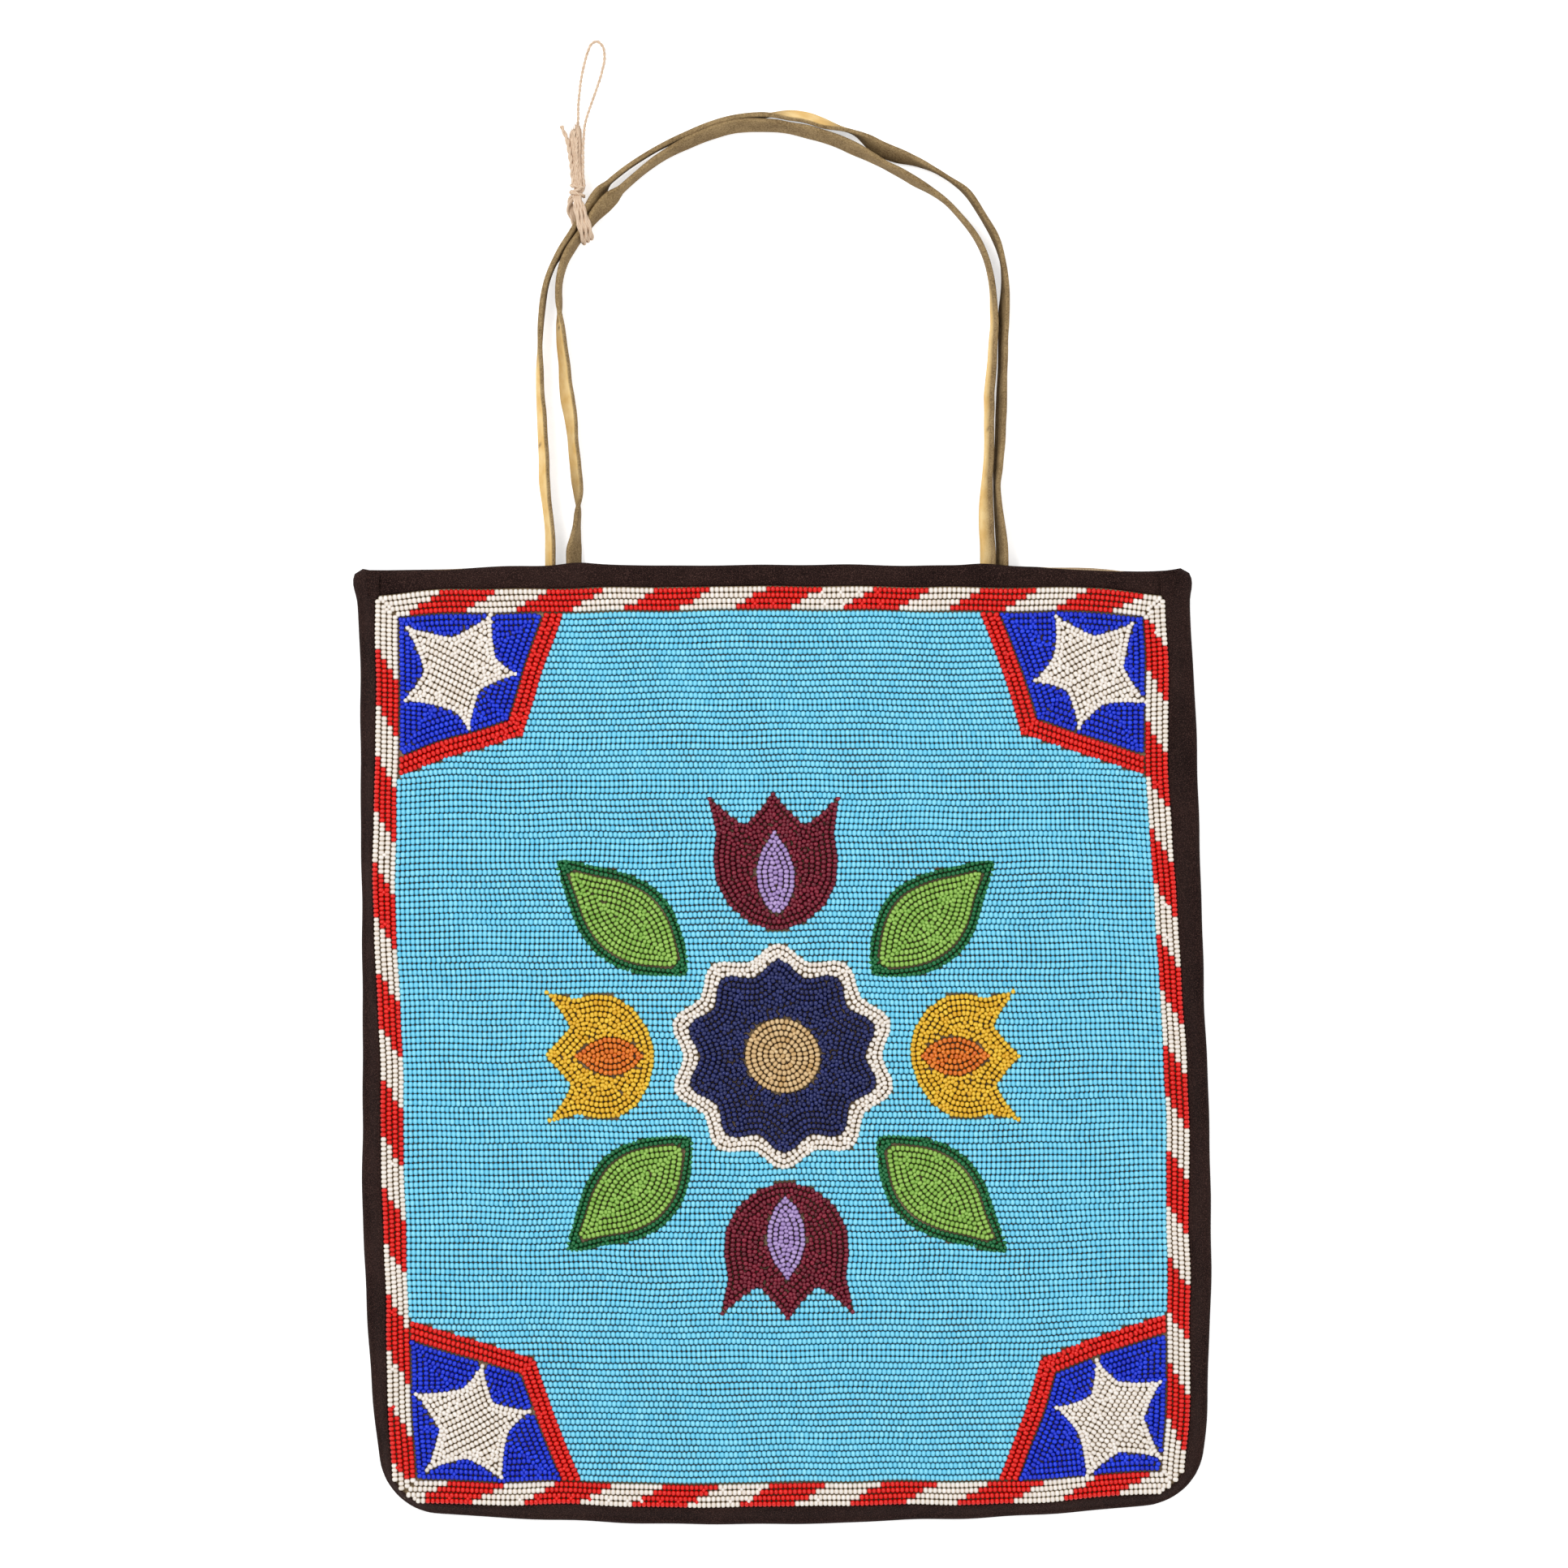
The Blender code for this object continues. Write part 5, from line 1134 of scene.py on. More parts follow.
def loose_fibres(name, roots, ways, length, seed):
    """Fine bast fibres that stand out of the twine, each a thin three-sided hair."""
    loose = np.random.default_rng(seed)
    hairs = []
    for root, way in zip(roots, ways):
        bend = loose.normal(0, 0.35, 3)
        reach = length * loose.uniform(0.4, 1.0)
        steps = np.linspace(0, 1, 5)[:, None]
        line = root + way * reach * steps + bend * reach * 0.5 * steps ** 2
        line[:, 2] = np.maximum(line[:, 2], 0.0002)
        ahead = np.gradient(line, axis=0)
        ahead /= np.linalg.norm(ahead, axis=1)[:, None]
        beside = np.cross(ahead, (0.3, 0.5, 0.81))
        beside /= np.linalg.norm(beside, axis=1)[:, None]
        high = np.cross(ahead, beside)
        thin = 0.00007 * (1 - 0.7 * steps)
        rows = [line + thin * (beside * math.cos(a) + high * math.sin(a)) for a in (0, 2.094, 4.189)]
        hairs.append(loft("hair", np.stack(rows, 1), sizes=(0.0003, reach)))
    return joined(hairs, name)


class BagBeads(PropertyGroup):
    """Sizes of the seed beads and how they are sewn."""

    row_pitch: FloatProperty(name="Row pitch", description="From one row of beads to the next",
                             default=0.0021, unit="LENGTH", precision=5)
    bead_length: FloatProperty(name="Bead length",
                               description="Along the thread, with the gap to the next bead",
                               default=0.00158, unit="LENGTH", precision=5)
    bead_height: FloatProperty(name="Bead height", description="How high a bead stands", default=0.00205,
                               unit="LENGTH", precision=5)
    snugness: FloatProperty(name="Snugness", description="How wide a bead is against the pitch of its row",
                            default=1.03)
    looseness: FloatProperty(name="Looseness", description="How much beads turn and tilt on their thread",
                             default=0.05, unit="ROTATION")
    sides: IntProperty(name="Sides", description="Flat faces round each bead, smoothed in shading", default=8)


class BagStraps(PropertyGroup):
    """Sizes of the leather straps."""

    width: FloatProperty(name="Width", description="Across the thong", default=0.0075, unit="LENGTH",
                         precision=5)
    thickness: FloatProperty(name="Thickness", description="Through the leather", default=0.0016,
                             unit="LENGTH", precision=5)
    rounding: FloatProperty(name="Rounding", description="How far the cut edges are rubbed round",
                            default=0.0005, unit="LENGTH", precision=5)


class BagTwine(PropertyGroup):
    """Sizes of the hemp twine."""

    diameter: FloatProperty(name="Diameter", description="Across both plies", default=0.0010, unit="LENGTH",
                            precision=5)
    lay: FloatProperty(name="Lay", description="Along the twine for one turn of its plies", default=0.0032,
                       unit="LENGTH", precision=5)


class BagStage(PropertyGroup):
    """The camera, lamps and floor."""

    view_width: FloatProperty(name="View width", description="How much of the floor the picture is wide",
                              default=0.5269, unit="LENGTH", precision=4)
    view_x: FloatProperty(name="View across", description="Middle of the picture, across", default=0.0008,
                          unit="LENGTH", precision=4)
    view_y: FloatProperty(name="View along", description="Middle of the picture, along the bag",
                          default=0.0875, unit="LENGTH", precision=4)
    camera_height: FloatProperty(name="Camera height", description="Above the floor", default=2.6,
                                 unit="LENGTH")
    key_power: FloatProperty(name="Key lamp", description="Large soft lamp over the upper left", default=12.4,
                             unit="POWER")
    fill_power: FloatProperty(name="Fill lamp", description="Large soft lamp over the lower right",
                              default=3.0, unit="POWER")
    ambient: FloatProperty(name="Ambient", description="Strength of the even light from all round",
                           default=0.78)


def colour_choice(label, words, code):
    """A colour that a user may change."""
    return FloatVectorProperty(name=label, description=words, default=linear(code), size=4, subtype="COLOR",
                               min=0.0, max=1.0)


class BagColours(PropertyGroup):
    """Colours of the beads, cloth, leather and twine."""

    sky_blue: colour_choice("Sky blue", "Beads of the field", "#8fe4fa")
    sky_blue_deep: colour_choice("Sky blue, deep", "Darker beads of the field", "#6ed0f0")
    # Painted shade on the flanks and ends of the sky blue beads, in the colour that the gaps between them
    # show
    sky_blue_painted_shade: colour_choice("Sky blue gaps", "Between beads of the field", "#3a9cbc")
    red: colour_choice("Red", "Beads of the stripes and edgings", "#f01c10")
    red_deep: colour_choice("Red, deep", "Darker red beads", "#d80e08")
    # Painted shade on the flanks and ends of the red beads, in the colour that the gaps between them show
    red_painted_shade: colour_choice("Red gaps", "Between red beads", "#8c0c08")
    cobalt: colour_choice("Cobalt", "Beads round the stars", "#1a40ea")
    cobalt_deep: colour_choice("Cobalt, deep", "Darker cobalt beads", "#0a22bc")
    # Painted shade on the flanks and ends of the cobalt beads, in the colour that the gaps between them show
    cobalt_painted_shade: colour_choice("Cobalt gaps", "Between cobalt beads", "#060f66")
    white: colour_choice("White", "Beads of the stars and stripes", "#f8f3ee")
    white_deep: colour_choice("White, deep", "Greyer white beads", "#e8dfd6")
    # Painted shade on the flanks and ends of the white beads, in the colour that the gaps between them show
    white_painted_shade: colour_choice("White gaps", "Between white beads", "#c2ae90")
    cloth: colour_choice("Cloth", "Binding, hems and back", "#150a09")
    cloth_worn: colour_choice("Cloth, worn", "Fibre ends in the cloth", "#543c36")
    suede: colour_choice("Suede", "Flesh side of the straps", "#ae946a")
    suede_dark: colour_choice("Suede, dark", "Edges and stains of the straps", "#604a2e")
    grain: colour_choice("Grain", "Smooth side of the straps", "#f6d698")
    grain_deep: colour_choice("Grain, deep", "Handled parts of the smooth side", "#e6bc74")
    hemp: colour_choice("Hemp", "Fibres of the twine", "#ecd4ba")
    hemp_dark: colour_choice("Hemp, dark", "Shadowed fibres of the twine", "#b4957a")


GROUPS = (("bag_beads", BagBeads), ("bag_straps", BagStraps), ("bag_twine", BagTwine),
          ("bag_stage", BagStage), ("bag_colours", BagColours))
CORNERS = ("top_left", "top_right", "bottom_left", "bottom_right")
SIDES = ("top", "bottom", "left", "right")
# How the rows of each star slant, in degrees
STAR_SLANTS = {"top_left": -28, "top_right": 28, "bottom_left": 28, "bottom_right": 62}


def bead_glass(finish):
    """The material of one kind of bead, made once."""
    colours = bpy.context.scene.bag_colours
    name = f"Seed glass {finish.replace('_', ' ')}"
    if name in bpy.data.materials:
        return bpy.data.materials[name]
    # Each finish: its colour, a darker tone that random beads take, and the painted shade of its beads'
    # flanks and ends
    mixed = {
        "sky_blue": (colours.sky_blue, colours.sky_blue_deep, colours.sky_blue_painted_shade),
        "red": (colours.red, colours.red_deep, colours.red_painted_shade),
        "cobalt": (colours.cobalt, colours.cobalt_deep, colours.cobalt_painted_shade),
        "white": (colours.white, colours.white_deep, colours.white_painted_shade),
        "cream": (linear("#e6c99a"), linear("#c9a26a"), linear("#6a4a26")),
        "navy": (linear("#2a3270"), linear("#161b48"), linear("#06081c")),
        "burgundy": (linear("#8a1c34"), linear("#5e0c20"), linear("#26040c")),
        "lavender": (linear("#bfa6d8"), linear("#9c80bc"), linear("#4c3662")),
        "yellow": (linear("#f6cc3e"), linear("#e0a81e"), linear("#7a5408")),
        "orange": (linear("#f08a2c"), linear("#d8661a"), linear("#702c06")),
        "light_green": (linear("#a2cc62"), linear("#7eae44"), linear("#3a5a1a")),
        "dark_green": (linear("#1f7a44"), linear("#0f5a2e"), linear("#042814")),
    }[finish]
    return seed_glass(name, *[tuple(one) for one in mixed])


SEWN = {}


def sewn(*names):
    """The beads sewn so far for some nodes, or for all of them."""
    return [spot for name, spots in SEWN.items() if not names or name in names for spot in spots]


def bead_piece(name, spots, finish, seed, *nodes):
    """Strings the spots into one piece that stands for its nodes."""
    SEWN[nodes[0]] = SEWN.get(nodes[0], []) + list(spots)
    look = bpy.context.scene.bag_beads
    piece = string_beads(name, spots, bead_form(look.sides), look, seed)
    return finish_piece(piece, bead_glass(finish), "pouch", f"{finish}_beads", *nodes)


class BAG_OT_stage(Operator):
    """Sets the camera straight above the bag, with soft lamps and a pale floor"""

    bl_idname = "bag.stage"
    bl_label = "Stage"

    def execute(self, context):
        stage = context.scene.bag_stage
        lens = bpy.data.cameras.new("Camera")
        lens.sensor_width = 36.0
        lens.lens = lens.sensor_width * (stage.camera_height - BEADS_TOP) / stage.view_width
        lens.clip_end = 20.0
        camera = bpy.data.objects.new("Camera", lens)
        camera.location = (stage.view_x, stage.view_y, stage.camera_height)
        context.collection.objects.link(camera)
        context.scene.camera = camera
        for name, place, size, power in (
            ("Key", (-0.75, 0.85, 1.55), 0.55, stage.key_power),
            ("Fill", (0.9, -0.35, 1.5), 1.3, stage.fill_power),
        ):
            lamp = bpy.data.lights.new(name, "AREA")
            lamp.size = size
            lamp.energy = power
            held = bpy.data.objects.new(name, lamp)
            held.location = place
            aim = Vector((stage.view_x, stage.view_y * 0.4, 0)) - Vector(place)
            held.rotation_euler = aim.to_track_quat("-Z", "Y").to_euler()
            context.collection.objects.link(held)
        world = bpy.data.worlds.new("Studio")
        context.scene.world = world
        world.use_nodes = True
        tree = world.node_tree
        tree.nodes.clear()
        level = add(tree, "ShaderNodeMix", {0: background_rays(tree), 2: stage.ambient, 3: 1.0},
                    data_type="FLOAT")
        light = add(tree, "ShaderNodeBackground",
                    {"Color": (1.0, 1.0, 1.0, 1.0), "Strength": level.outputs[0]})
        add(tree, "ShaderNodeOutputWorld", {"Surface": light.outputs["Background"]})
        clear_selection()
        bpy.ops.mesh.primitive_plane_add(size=6, location=(0, 0, -0.0002))
        floor = context.object
        floor.name = "Floor"
        bpy.ops.object.transform_apply(location=True)
        floor.data.materials.append(studio_floor("Matt paper sweep", linear("#f4f3f1"), FLOOR_LIFT))
        context.scene.view_settings.view_transform = "Standard"
        return {"FINISHED"}


class BAG_OT_hang_loop(Operator):
    """Lays the loop of twine that the bag hangs by"""

    bl_idname = "bag.hang_loop"
    bl_label = "Hang loop"

    def execute(self, context):
        twine = context.scene.bag_twine
        route = [LOOP_TOP + Vector(step) for step in LOOP_ROUTE]
        line = flow(route, 0.0004)
        loop = two_ply("hang_loop_twine", line, twine.diameter, twine.lay)
        finish_piece(loop, hemp_finish(), "hang_loop", "hemp", "twine_loop")
        [list(point) for point in line]
        return {"FINISHED"}


def hemp_finish():
    """The twine's material, made once."""
    colours = bpy.context.scene.bag_colours
    name = "Two-ply hemp"
    return bpy.data.materials.get(name) or hemp(name, tuple(colours.hemp), tuple(colours.hemp_dark))


class BAG_OT_field_beads(Operator):
    """Sews the sky blue field in level rows"""

    bl_idname = "bag.field_beads"
    bl_label = "Field beads"

    def execute(self, context):
        look = context.scene.bag_beads
        loops = outlines("sky_blue_field")
        spots = bead_rows(loops, 0.0, look.bead_length, look.row_pitch, tuck=FIELD_TUCK)
        spots = patched(spots, loops, look.bead_length, look.row_pitch, sewn())
        spots.sort(key=lambda spot: spot[1])
        for part in range(FIELD_PARTS):
            share = spots[len(spots) * part // FIELD_PARTS:len(spots) * (part + 1) // FIELD_PARTS]
            bead_piece(f"sky_blue_rows_{part + 1}", share, "sky_blue", 11 + part, "sky_blue_field")
        return {"FINISHED"}


class BAG_OT_border_beads(Operator):
    """Sews the striped border, four lanes to a side"""

    bl_idname = "bag.border_beads"
    bl_label = "Border beads"

    def execute(self, context):
        look = context.scene.bag_beads
        slope = math.atan2(POUCH_HEIGHT, -POUCH_LEAN)
        for index, (side, angle) in enumerate(zip(SIDES, (0.0, 0.0, slope, slope))):
            node = f"border_{side}"
            strip = outlines(node)
            spots = bead_rows(strip, angle, look.bead_length, BORDER_PITCH, rows=4)
            spots = patched(spots, strip, look.bead_length, BORDER_PITCH, sewn())
            red = inside(np.array(spots)[:, :2], outlines(node, top=True))
            for finish, wanted in (("white", False), ("red", True)):
                share = [spot for spot, is_red in zip(spots, red) if is_red == wanted]
                bead_piece(f"{node}_{finish}", share, finish, 31 + index * 2 + wanted, node)
        return {"FINISHED"}


def star_outline(corners, hollow=0.0006):
    """A star's closed outline from its measured corners, each side a little hollow."""
    corners = laid(corners)
    middle = corners.mean(0)
    points = []
    for a, b in zip(corners, np.roll(corners, -1, 0)):
        steps = np.linspace(0, 1, 6)[:-1, None]
        inwards = middle - (a + b) / 2
        inwards /= np.linalg.norm(inwards)
        points.append(a + (b - a) * steps + inwards * hollow * 4 * steps * (1 - steps))
    return np.concatenate(points)


class BAG_OT_corner_beads(Operator):
    """Sews the corner blocks: blue lanes, a white star and a red edging"""

    bl_idname = "bag.corner_beads"
    bl_label = "Corner beads"

    def execute(self, context):
        look = context.scene.bag_beads
        pitch, length = BORDER_PITCH, look.bead_length
        for index, corner in enumerate(CORNERS):
            star = [star_outline(STARS[corner])]
            slant = math.radians(STAR_SLANTS[corner])
            tips = laid(STARS[corner])[::2]
            inwards = tips.mean(0) - tips
            inwards /= np.linalg.norm(inwards, axis=1)[:, None]
            # Two beads in line fill each tip, the outer one small
            spots = [(*(tip + way * (pitch * 0.42 + along)), math.atan2(way[1], way[0]), length,
                      pitch * wide, 0.0)
                     for tip, way in zip(tips, inwards)
                     for along, wide in ((0.0, 0.8), (length * 0.98, 1.05))]
            spots += bead_lanes(star, length, pitch, 1)
            spots += bead_rows(star, slant, length, pitch, margin=pitch * 1.02)
            spots = patched(thinned(spots, LEAST_SPACING), star, length, pitch)
            bead_piece(f"star_beads_{corner}", spots, "white", 51 + index, f"star_{corner}")
            band = outlines(f"corner_edging_{corner}")[0]
            steps = np.linalg.norm(np.roll(band, -1, 0) - band, axis=1)
            ends = sorted(np.argsort(steps)[:2])
            first = band[ends[0] + 1:ends[1] + 1]
            second = np.concatenate((band[ends[1] + 1:], band[:ends[0] + 1]))[::-1]
            spots = patched(between_rails(first, second, 3, length), [band], length, pitch, sewn())
            bead_piece(f"corner_edging_beads_{corner}", spots, "red", 71 + index, f"corner_edging_{corner}")
            ground = outlines(f"star_ground_{corner}")[:1] + star
            spots = thinned(bead_lanes(ground, length, pitch, 14, keep_off=0.42), LEAST_SPACING)
            spots = patched(spots, ground, length, pitch, sewn())
            bead_piece(f"star_ground_beads_{corner}", spots, "cobalt", 61 + index, f"star_ground_{corner}")
        return {"FINISHED"}


class BAG_OT_flower_beads(Operator):
    """Sews the flower design in the middle: rosette, tulips and leaves"""

    bl_idname = "bag.flower_beads"
    bl_label = "Flower beads"

    def execute(self, context):
        look = context.scene.bag_beads
        length = look.bead_length
        filled = [("rosette_centre", "cream", 0.00195), ("rosette_petals", "navy", 0.0019),
                  ("rosette_rim", "white", 0.00183)]
        for part, upright, level in (("cup", "burgundy", "yellow"), ("heart", "lavender", "orange")):
            filled += [(f"tulip_{part}_{side}", finish, 0.0019)
                       for side, finish in zip(SIDES, (upright, upright, level, level))]
        filled += [(f"leaf_{corner}", "light_green", 0.0019) for corner in CORNERS]
        filled += [(f"leaf_edge_{corner}", "dark_green", 0.0016) for corner in CORNERS]
        for index, (node, finish, pitch) in enumerate(filled):
            loops = [rounded(loop) if len(loop) < 25 and "cup" not in node and "heart" not in node else loop
                     for loop in outlines(node)]
            spots = thinned(bead_lanes(loops, length, pitch, 16), pitch * 0.62)
            spots = patched(spots, loops, length, pitch, sewn())
            bead_piece(f"{node}_beads", spots, finish, 91 + index, node)
        return {"FINISHED"}


class BAG_OT_cloth_layers(Operator):
    """Lays the back panel, both linings and the canvas under the beads"""

    bl_idname = "bag.cloth_layers"
    bl_label = "Cloth layers"

    def execute(self, context):
        colours = context.scene.bag_colours
        wool = broadcloth("Brown broadcloth", tuple(colours.cloth), tuple(colours.cloth_worn))
        lining = plain_weave("Cotton lining", linear("#a98f74"), linear("#7c6349"), 0.0006)
        canvas = plain_weave("Cotton canvas", linear("#b59c7c"), linear("#8a7254"), 0.0010)

        def front(edge, sink=0.0):
            return lambda x, y, d: (front_height(edge, d) + swell(x, y)
                                    - sink * (1 - smoothstep((d - 0.0045) / 0.0025)))

        def back(edge, sink, loose):
            def level(x, y, d):
                below_hem = MOUTH_Y - HEM_WIDTH - y
                stepped = smoothstep((d - BEADS_INSET) / 0.0015) * smoothstep(below_hem / 0.0015)
                waves = np.maximum(0, 0.5 + 0.5 * ripple(x, y, 0.07, 1.7))
                return edge - sink * stepped + loose * waves * stepped
            return level

        # Name, inset, top, height, thickness, material, slot and node
        layers = (
            ("back_cloth", 0.0009, MOUTH_Y - 0.0009, back(0.0009, 0.0009, 0.0003), 0.0008, wool, "broadcloth",
             "back_panel"),
            ("back_lining_cloth", 0.0035, MOUTH_Y - 0.0012, back(0.0020, 0.0007, 0.0002), 0.0003, lining,
             "lining", "back_lining"),
            ("front_lining_cloth", 0.0040, MOUTH_Y - 0.0012, front(0.0028, 0.0005), 0.0003, lining, "lining",
             "front_lining"),
            ("bead_canvas", 0.0045, MOUTH_Y - 0.0009, front(0.0035, 0.0009), 0.0009, canvas, "canvas",
             "front_canvas"),
        )
        for name, inset, top, level, thickness, material, slot, node in layers:
            piece = cloth_layer(name, inset, top, level, thickness)
            finish_piece(piece, material, "pouch", slot, node)
        return {"FINISHED"}


class BAG_OT_edge_binding(Operator):
    """Folds a strip of cloth over the sides and the bottom"""

    bl_idname = "bag.edge_binding"
    bl_label = "Edge binding"

    def execute(self, context):
        place, inward, length = edge_stations(STATION_STEP)
        run = np.linspace(0, length, len(place))
        # The folded strip's profile: how far in from the edge, and how high
        section = [(BINDING_REACH, 0.0003), (0.0058, 0.0), (0.004, 0.0), (0.002, 0.0), (0.0009, 0.00005),
                   (0.0003, 0.0004), (0.0, 0.0012), (-0.0002, 0.0024), (-0.0001, 0.0036), (0.0003, 0.0046)]
        section += [(d, front_height(BINDING_TOP, d) + 0.00045 * math.sin(math.pi * min(1, d / 0.0056)))
                    for d in (0.0009, 0.0016, 0.0024, 0.0032, 0.0040, 0.0047, 0.0053)]
        section += [(0.0058, 0.0099), (BINDING_REACH, 0.0096), (BINDING_REACH, 0.0092)]
        section += [(d, front_height(BINDING_TOP, d) - 0.0007) for d in (0.0052, 0.0040, 0.0028, 0.0016)]
        section += [(0.0007, 0.0043), (0.0006, 0.0025), (0.0007, 0.0008), (0.0030, 0.0006), (0.0055, 0.0006)]
        rows = []
        for spot, way, along in zip(place, inward, run):
            puff = 1.02 + 0.02 * float(ripple(np.array(along), np.array(0.0), 0.021, 0.4))
            end = min(along, length - along)
            # At the mouth the top leaf folds over the end of the hem as a thick, rounded ear
            ear = float(smoothstep((EAR_LENGTH - end) / EAR_START))
            cap = round_off(end / EAR_ROUNDING)
            turned_in = EAR_TURN_IN * (1 - round_off(end / CORNER_ROUNDING))
            spot = spot + way * (turned_in - BULGE * math.exp(-((end - BULGE_PLACE) / BULGE_LENGTH) ** 2))
            row = []
            for d, z in section:
                share = 1 - d / BEADS_INSET
                leaf = z > LEAF_LEVEL
                reach = d * (1 + EAR_SPREAD * ear) * (0.85 + 0.15 * cap if leaf else 1)
                reach -= turned_in * d / BINDING_REACH
                high = z * puff + EAR_HEIGHT * ear * float(smoothstep(d / 0.002)) if leaf else z
                high *= 0.72 + 0.28 * cap if z > MM else 1
                row.append((*(spot + way * reach), high, min(max(share, 0), 1)))
            rows.append(row)
        rows = np.array(rows)
        rows = settled(rows[..., :3], rows[..., 3])
        piece = loft("bound_edge", rows, sizes=(0.02, length))
        finish_piece(piece, bpy.data.materials["Brown broadcloth"], "pouch", "broadcloth", "edge_binding")
        return {"FINISHED"}


class BAG_OT_top_hems(Operator):
    """Folds the hem over the mouth's front and back edges"""

    bl_idname = "bag.top_hems"
    bl_label = "Top hems"

    def execute(self, context):
        low_y = HEM_LOW.y
        for name, node, base, high in (("front_hem", "top_hem_front", HEM_LOW.z, HEM_HIGH.z),
                                       ("back_hem", "top_hem_back", BACK_HEM_LOW.z, BACK_HEM_HIGH.z)):
            thick = HEM_THICKNESS
            mid = (base + high) / 2
            on_front = base > MM
            puff = 0.0004 if on_front else 0.0
            section = [(low_y - 0.0001, base + 0.0003), (low_y + 0.0006, base), (MOUTH_Y - 0.003, base),
                       (MOUTH_Y - 0.001, base + 0.0001), (MOUTH_Y - 0.0002, base + 0.0006),
                       (MOUTH_Y + 0.0002, mid), (MOUTH_Y - 0.0001, high - 0.0006),
                       (MOUTH_Y - 0.0010, high + puff * 0.4), (MOUTH_Y - 0.0030, high + puff),
                       (MOUTH_Y - 0.0050, high + puff), (low_y + 0.0008, high + puff * 0.5),
                       (low_y, high - 0.0001), (low_y - 0.0001, high - 0.0004),
                       (low_y + 0.0005, high - thick), (MOUTH_Y - 0.003, high - thick),
                       (MOUTH_Y - 0.0008, high - thick - 0.0001),
                       (MOUTH_Y - 0.0006, mid), (MOUTH_Y - 0.0008, base + thick + 0.0001),
                       (MOUTH_Y - 0.003, base + thick), (low_y + 0.0005, base + thick)]
            rows = []
            start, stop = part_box(node)[0].x - HEM_OVERLAP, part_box(node)[1].x + HEM_OVERLAP
            straps = [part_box(f"strap_root_front_{hand}") for hand in ("left", "right")]
            for x in np.linspace(start, stop, HEM_SECTIONS):
                wave = 1 + 0.03 * float(ripple(np.array(x), np.array(0.0), 0.024, 0.9))
                # The front hem's ends sink under the binding's ears
                end = min(x - start, stop - x)
                sunk = float(smoothstep((HEM_END_START - end) / HEM_END_RUN))
                under = HEM_END_SINK * sunk if on_front else 0
                # The straps push the folded edge up a little
                push = STRAP_PUSH * sum(math.exp(-((x - (low.x + up.x) / 2) / STRAP_PUSH_WIDTH) ** 2)
                                        for low, up in straps)
                rows.append([(x, y + push * (y > MOUTH_Y - 0.002),
                              z * wave - under if z > high - 0.0002 else z) for y, z in section])
            rows = np.array(rows)
            rows = settled(rows, np.clip((rows[..., 1] - low_y) / HEM_WIDTH, 0, 1))
            piece = loft(name, rows, sizes=(0.02, stop - start))
            finish_piece(piece, bpy.data.materials["Brown broadcloth"], "pouch", "broadcloth", node)
        return {"FINISHED"}


class BAG_OT_straps(Operator):
    """Cuts and bends the two leather handle straps"""

    bl_idname = "bag.straps"
    bl_label = "Handle straps"

    def execute(self, context):
        sizes = context.scene.bag_straps
        colours = context.scene.bag_colours
        leather = suede("Napped buckskin", tuple(colours.suede), tuple(colours.suede_dark),
                        tuple(colours.grain), tuple(colours.grain_deep))
        # Each strap is cut where it leaves the mouth, into its two ends and the arch between
        split = ROOT_AXIS_Y + JOINT_HALF
        for side, table in (("front", INNER_STRAP), ("back", OUTER_STRAP)):
            line = strap_route(side)
            above = np.flatnonzero(line[:, 1] >= split - 1e-6)
            start, stop = int(above[0]), int(above[-1])
            rows, pale = strap_rows(line, table, start, stop, (sizes.width, sizes.thickness, sizes.rounding))
            for name, first, last, hand in (
                (f"{side}_strap_left_end", 0, start, "left"),
                (f"{side}_strap_right_end", stop, len(line) - 1, "right"),
            ):
                piece = strap_part(name, rows[first:last + 1], pale[first:last + 1])
                piece.data.materials.append(leather)
                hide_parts(f"strap_end_{side}_{hand}", f"strap_root_{side}_{hand}")
                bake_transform(piece)
            piece = strap_part(f"{side}_strap", rows[start:stop + 1], pale[start:stop + 1])
            piece.data.materials.append(leather)
            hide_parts(f"handle_strap_{side}")
            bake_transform(piece)
        return {"FINISHED"}


# Twine, in millimetres from the middle of the knot. The turns spread from the knot round both straps: across,
# more for each turn, along, more for each turn, height
WRAP_STRANDS = 3
WRAP_ROUTE = (
    (0.0, 0.55, -0.9, 0.1, 0.9), (0.3, 0.95, -4.2, 0.2, 3.3), (1.2, 1.30, -9.2, 0.4, 4.7),
    (2.1, 1.40, -13.2, 0.6, 4.4), (2.9, 1.25, -16.3, 0.8, 1.8), (2.9, 1.20, -16.4, 0.8, -2.2),
    (1.2, 1.15, -12.8, 0.6, -4.2), (-1.1, 0.70, -8.6, 0.4, -4.1), (-2.1, 0.30, -5.0, 0.3, -2.6),
    (-1.5, 0.30, -2.0, 0.1, -0.8), (0.0, 0.35, -0.5, 0.1, 0.2),
)
# The turns of the knot: height and tilt in millimetres, width as a share
KNOT_BANDS = ((0.9, 0.5, 1.0), (-0.4, -0.35, 1.06), (2.0, -0.2, 0.92))
KNOT_HALF_WIDTH, KNOT_HALF_DEPTH, KNOT_SHIFT = 0.0021, 0.0019, 0.0008
# The shank: height above the knot, middle and half width
SHANK_SHAPE = (
    (-1.0, 0.8, 1.3), (1.5, 1.3, 1.2), (4.0, 1.0, 1.5), (8.0, 0.8, 1.7), (12.0, 0.5, 1.8), (16.0, 0.3, 2.1),
    (19.0, 0.1, 2.0), (21.5, 0.1, 1.9), (23.0, 0.2, 1.7),
)
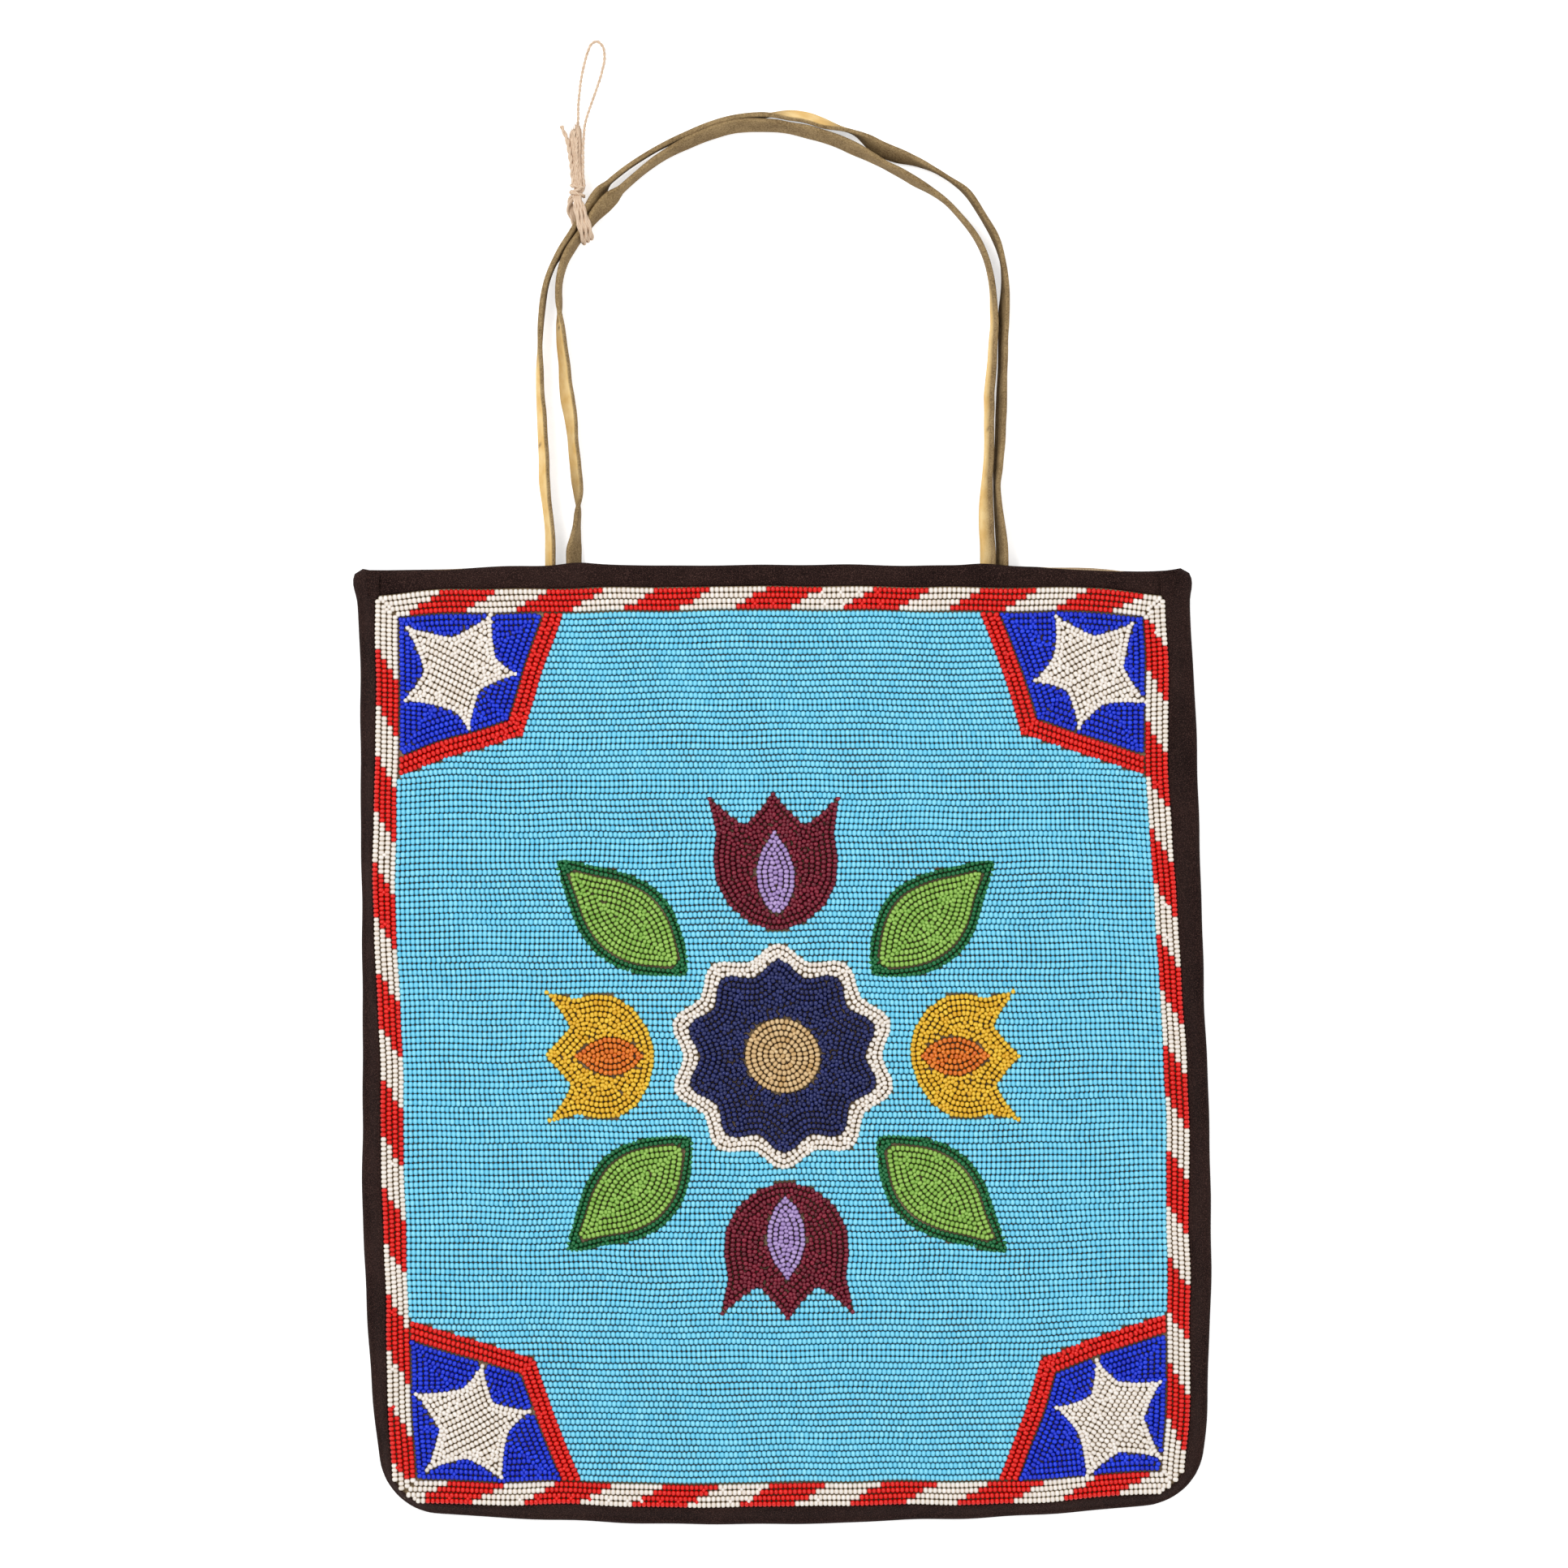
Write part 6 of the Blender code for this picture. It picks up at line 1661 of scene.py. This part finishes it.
# Its strands: place across as a share of the half width, depth, top, thickness as a share, plies
SHANK_STRANDS = (
    (-0.75, 0.1, 20.4, 1.7, 1), (-0.35, 0.8, 22.2, 1.6, 1), (0.15, 1.0, 23.0, 1.25, 2),
    (0.45, 0.7, 23.2, 1.6, 1), (-0.5, -0.9, 21.8, 1.7, 1), (0.1, -1.0, 23.0, 1.8, 1),
    (0.6, -0.8, 23.0, 1.5, 1), (-0.15, 1.4, 22.6, 1.2, 2), (-0.6, 1.0, 21.4, 1.2, 2),
    (0.62, 0.2, 22.6, 1.3, 2),
)
# How far the shank sinks on its way up to the loop
LOOP_DEPTH = -2.2
# Where the frayed fibres of an end stand side by side
FRAYS = (-2, -1, 0, 1, 2)
LEG_ROUTE = ((2.9, 19.0, -0.4), (2.7, 15.0, 0.3), (2.7, 10.0, 0.9), (2.7, 6.0, 1.2), (3.0, 1.8, 1.0),
             (1.8, -0.6, 0.4))
SHORT_LEG_ROUTE = ((0.9, 23.0, -1.6), (0.7, 20.0, -0.6), (0.5, 16.0, 0.4), (0.8, 10.0, 0.8), (1.2, 3.0, 0.6))
TAIL_ROUTE = (
    (-4.6, 22.6, -1.2), (-3.8, 20.6, -1.0), (-2.9, 18.6, -0.6), (-2.3, 16.0, -0.2), (-1.6, 12.0, 0.4),
    (-1.0, 7.0, 0.7), (-0.4, 2.0, 0.8),
)


class BAG_OT_twine(Operator):
    """Winds the twine round both straps, knots it and draws up its shank and frayed ends"""

    bl_idname = "bag.twine"
    bl_label = "Twine"

    def execute(self, context):
        twine = context.scene.bag_twine
        hemp_look = hemp_finish()
        low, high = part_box("twine_knot")
        knot_top = (low + high) / 2
        turns = []
        for strand in range(WRAP_STRANDS):
            route = [knot_top + Vector((x + strand * more_x, y + strand * more_y, z)) * MM
                     for x, more_x, y, more_y, z in WRAP_ROUTE]
            turns.append(two_ply(f"turn_{strand}", flow(route, 0.0004), twine.diameter * 1.9,
                                 twine.lay * 3.6))
        finish_piece(joined(turns, "wound_twine"), hemp_look, "front_handle", "hemp", "twine_wrap")
        around = np.linspace(0, 2 * math.pi, 40)
        bands = []
        for band, (high, tilt, wide) in enumerate(KNOT_BANDS):
            ring = np.stack((KNOT_HALF_WIDTH * wide * np.cos(around),
                             high * MM + tilt * KNOT_HALF_WIDTH * np.cos(around),
                             KNOT_HALF_DEPTH * wide * np.sin(around)), 1)
            bands.append(two_ply(f"band_{band}", np.array(knot_top) + (KNOT_SHIFT, 0, 0) + ring,
                                 twine.diameter * 1.35, twine.lay * 1.4))
        finish_piece(joined(bands, "overhand_knot"), hemp_look, "front_handle", "hemp", "twine_knot")
        strands, tops, ways = [], [], []
        for strand, (bend, depth, top, thick, plies) in enumerate(SHANK_STRANDS):
            route = []
            for high, middle, half in SHANK_SHAPE:
                if high > top:
                    break
                sideways = middle + half * (bend + 0.10 * math.sin(high * 0.55 + strand * 1.7))
                route.append(knot_top + Vector((sideways, high, depth * (0.7 + 0.03 * high)
                                                + LOOP_DEPTH * smoothstep(high / 24))) * MM)
            line = flow(route, 0.0005)
            line[:, 2] = np.maximum(line[:, 2], 0.0008)
            strands.append(two_ply(f"strand_{strand}", line, twine.diameter * thick, twine.lay * 1.5, plies,
                                   taper=0.0016))
            tops += [line[-1] + (0.0003 * fray, -0.0004, 0) for fray in FRAYS]
            ways += [(line[-1] - line[-4]) / np.linalg.norm(line[-1] - line[-4])] * len(FRAYS)
        leg = [LOOP_TOP + Vector(LOOP_ROUTE[-1])] + [knot_top + Vector(step) * MM for step in LEG_ROUTE]
        strands.append(two_ply("long_leg", flow(leg, 0.0005), twine.diameter, twine.lay))
        leg = [LOOP_TOP + Vector(LOOP_ROUTE[0])] + [knot_top + Vector(step) * MM for step in SHORT_LEG_ROUTE]
        strands.append(two_ply("short_leg", flow(leg, 0.0005), twine.diameter, twine.lay))
        strands.append(loose_fibres("tuft", tops, ways, 0.0022, 5))
        finish_piece(joined(strands, "shank_strands"), hemp_look, "hinge", "hemp", "twine_shank")
        tail = flow([knot_top + Vector(step) * MM for step in TAIL_ROUTE], 0.0004)
        tail_piece = two_ply("frayed_tail", tail, twine.diameter * 1.5, twine.lay * 1.8)
        way = (tail[0] - tail[3]) / np.linalg.norm(tail[0] - tail[3])
        roots = [tail[0] + (0.0002 * fray, -0.0003, 0) for fray in FRAYS]
        frays = loose_fibres("tail_frays", roots, [way] * len(FRAYS), 0.0018, 8)
        finish_piece(joined([tail_piece, frays], "frayed_tail"), hemp_look, "hinge", "hemp", "twine_tail")
        return {"FINISHED"}


OPERATORS = (BAG_OT_stage, BAG_OT_hang_loop, BAG_OT_border_beads, BAG_OT_corner_beads, BAG_OT_flower_beads,
             BAG_OT_field_beads, BAG_OT_cloth_layers, BAG_OT_edge_binding, BAG_OT_top_hems, BAG_OT_straps,
             BAG_OT_twine)


class BAG_PT_panel(Panel):
    """Lists the steps that dress the bag"""

    bl_label = "Beaded bag"
    bl_space_type = "VIEW_3D"
    bl_region_type = "UI"
    bl_category = "Beaded bag"

    def draw(self, context):
        for operator in OPERATORS:
            self.layout.operator(operator.bl_idname)
        for name, group in GROUPS:
            box = self.layout.box()
            for key in group.__annotations__:
                box.prop(getattr(context.scene, name), key)


def register():
    for _, group in GROUPS:
        bpy.utils.register_class(group)
    for name, group in GROUPS:
        setattr(bpy.types.Scene, name, PointerProperty(type=group))
    for operator in OPERATORS:
        bpy.utils.register_class(operator)
    bpy.utils.register_class(BAG_PT_panel)


def unregister():
    bpy.utils.unregister_class(BAG_PT_panel)
    for operator in reversed(OPERATORS):
        bpy.utils.unregister_class(operator)
    for name, group in reversed(GROUPS):
        delattr(bpy.types.Scene, name)
        bpy.utils.unregister_class(group)


def main():
    register()
    for operator in OPERATORS:
        group, step = operator.bl_idname.split(".")
        getattr(getattr(bpy.ops, group), step)()


if __name__ == "__main__":
    main()
